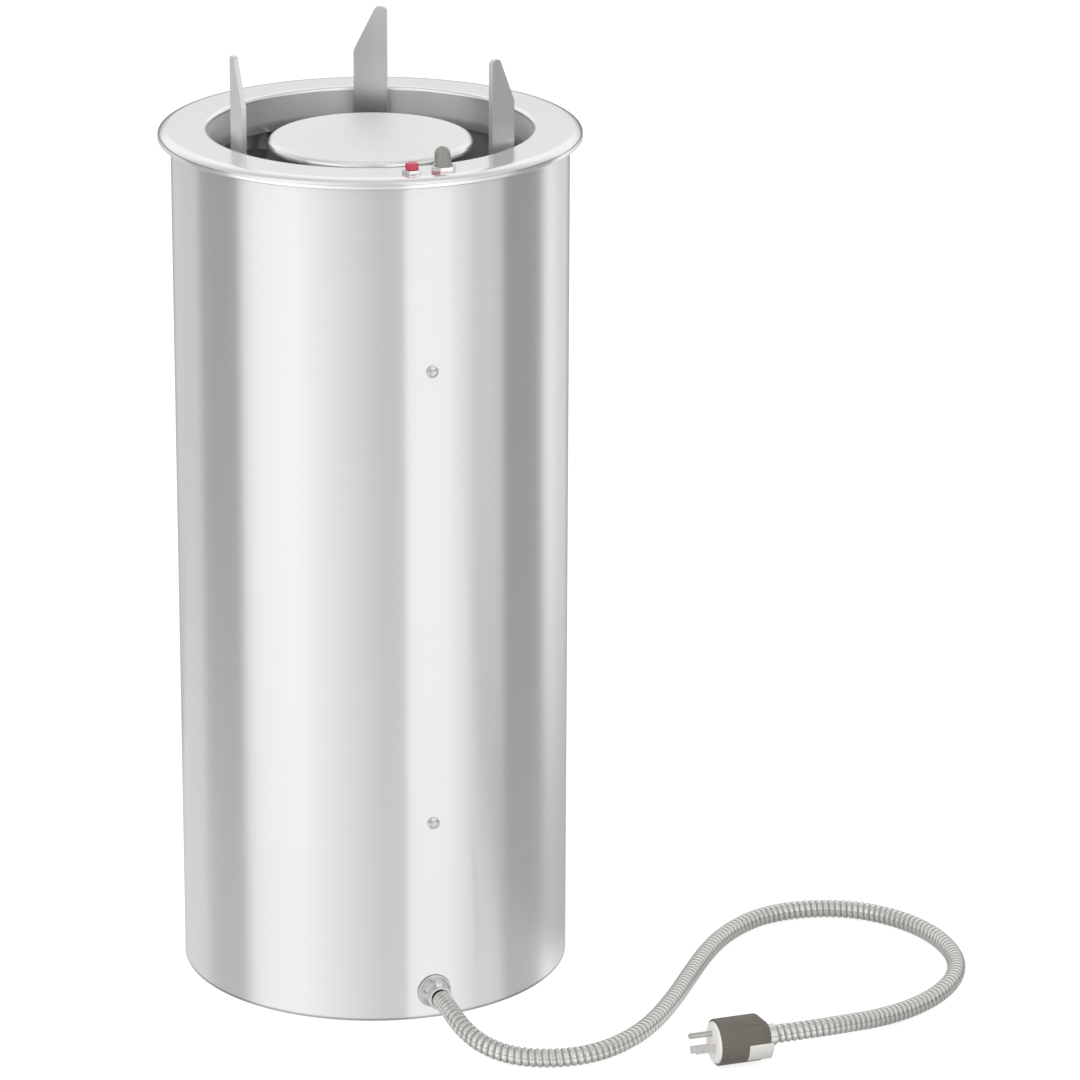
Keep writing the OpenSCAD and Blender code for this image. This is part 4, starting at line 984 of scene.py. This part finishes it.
def studio():
    """Panels seen in the metal and lighting the object; the camera itself sees white."""
    world = bpy.data.worlds.new("studio")
    bpy.context.scene.world = world
    w = Nodes(world)
    direction = w.add("ShaderNodeTexCoord").outputs["Generated"]
    x, y, height = w.parts(direction)
    stops = []
    for low, high, first, last in PANELS:
        stops += [((low + 180) / 360, first), ((high + 180) / 360, last)]
    walls = w.ramp(w.ranged(w.math("ARCTAN2", y, x), -math.pi, math.pi), stops)
    depth = w.ramp(w.ranged(height, -1, 1), [((z + 1) / 2, level) for z, level in DEPTHS])
    shaded = w.mix(1.0, walls, depth, "MULTIPLY")
    ahead = w.measure("DOT_PRODUCT", direction, CEILING_AHEAD)
    front = w.math("MAXIMUM", ahead, 0.0)
    above = w.math("SUBTRACT", height, w.math("MULTIPLY", front, PANELS_HIGHER_AHEAD))
    ceiling = w.ramp(w.ranged(ahead, -1, 1), [((v + 1) / 2, level) for v, level in CEILING])
    lamps = w.mix(1.0, walls, (AHEAD_SHARE, AHEAD_SHARE, AHEAD_SHARE, 1), "MULTIPLY")
    overhead = w.mix(w.ranged(front, *AHEAD_REACH), ceiling, lamps)
    light = w.mix(w.ranged(above, *CEILING_HEIGHTS), shaded, overhead)
    around = w.add("ShaderNodeBackground", Color=light).outputs[0]
    seen = w.add("ShaderNodeBackground", Color=(1, 1, 1, 1)).outputs[0]
    by_camera = w.add("ShaderNodeLightPath").outputs["Is Camera Ray"]
    w.add("ShaderNodeOutputWorld", Surface=w.mix_shaders(by_camera, around, seen))


def glow_over(s, under, share, strength):
    """A light of its own mixed over another shader."""
    return s.mix_shaders(share, under, s.add("ShaderNodeEmission", Strength=strength).outputs[0])


def floor_white(s):
    """White cloth, mostly its own white, so that the object's shade on it stays faint."""
    cloth = s.add("ShaderNodeBsdfDiffuse", Color=FLOOR_CLOTH).outputs[0]
    return glow_over(s, cloth, FLOOR_OWN_WHITE, FLOOR_GLOW)


def floor_sheen(s):
    """The floor's light as the metal near the ground picks it up."""
    place = s.place()
    side = s.ranged(s.measure("DOT_PRODUCT", place, SHEEN_SIDE), *SHEEN_TURN)
    fade = s.ranged(s.measure("LENGTH", place), *SHEEN_FADE, 1, 0)
    share = s.math("MULTIPLY", fade, s.ranged(side, 0, 1, *SHEEN_SHARES))
    clear = s.add("ShaderNodeBsdfTransparent").outputs[0]
    return glow_over(s, clear, share, s.ranged(side, 0, 1, *SHEEN_LEVELS))


def stage_disc(name, radius, height, shader):
    """A flat round sheet of the stage; shader(nodes) returns its surface."""
    points = [(0, 0, height)]
    for ring in STAGE_RINGS:
        for k in range(STAGE_SIDES):
            a = 2 * math.pi * k / STAGE_SIDES
            points.append((radius * ring * math.cos(a), radius * ring * math.sin(a), height))
    faces = [(0, 1 + k, 1 + (k + 1) % STAGE_SIDES) for k in range(STAGE_SIDES)]
    faces += grid_faces(len(STAGE_RINGS), STAGE_SIDES, 1, True)
    material = bpy.data.materials.new(name)
    s = Nodes(material)
    s.add("ShaderNodeOutputMaterial", Surface=shader(s))
    disc = mesh_piece(name, points, faces, material, False)
    return disc


def soft_box(name, place, target, size, power):
    """A lamp that lights the object and isn't seen in its metal."""
    data = bpy.data.lights.new(name, "AREA")
    data.shape = "RECTANGLE"
    data.size, data.size_y = size
    data.energy = power
    obj = bpy.data.objects.new(name, data)
    bpy.context.scene.collection.objects.link(obj)
    obj.location = place
    obj.rotation_euler = (Vector(target) - Vector(place)).to_track_quat("-Z", "Y").to_euler()
    obj.visible_glossy = False


studio()
floor = stage_disc("floor", FLOOR_R, FLOOR_DROP, floor_white)
floor.visible_glossy = False
floor.visible_diffuse = False
sheen = stage_disc("floor_sheen", SHEEN_R, 2 * FLOOR_DROP, floor_sheen)
sheen.visible_camera = False
sheen.visible_diffuse = False
sheen.visible_shadow = False
for box in SOFT_BOXES:
    soft_box(*box)

bpy.context.scene.view_settings.view_transform = "Standard"
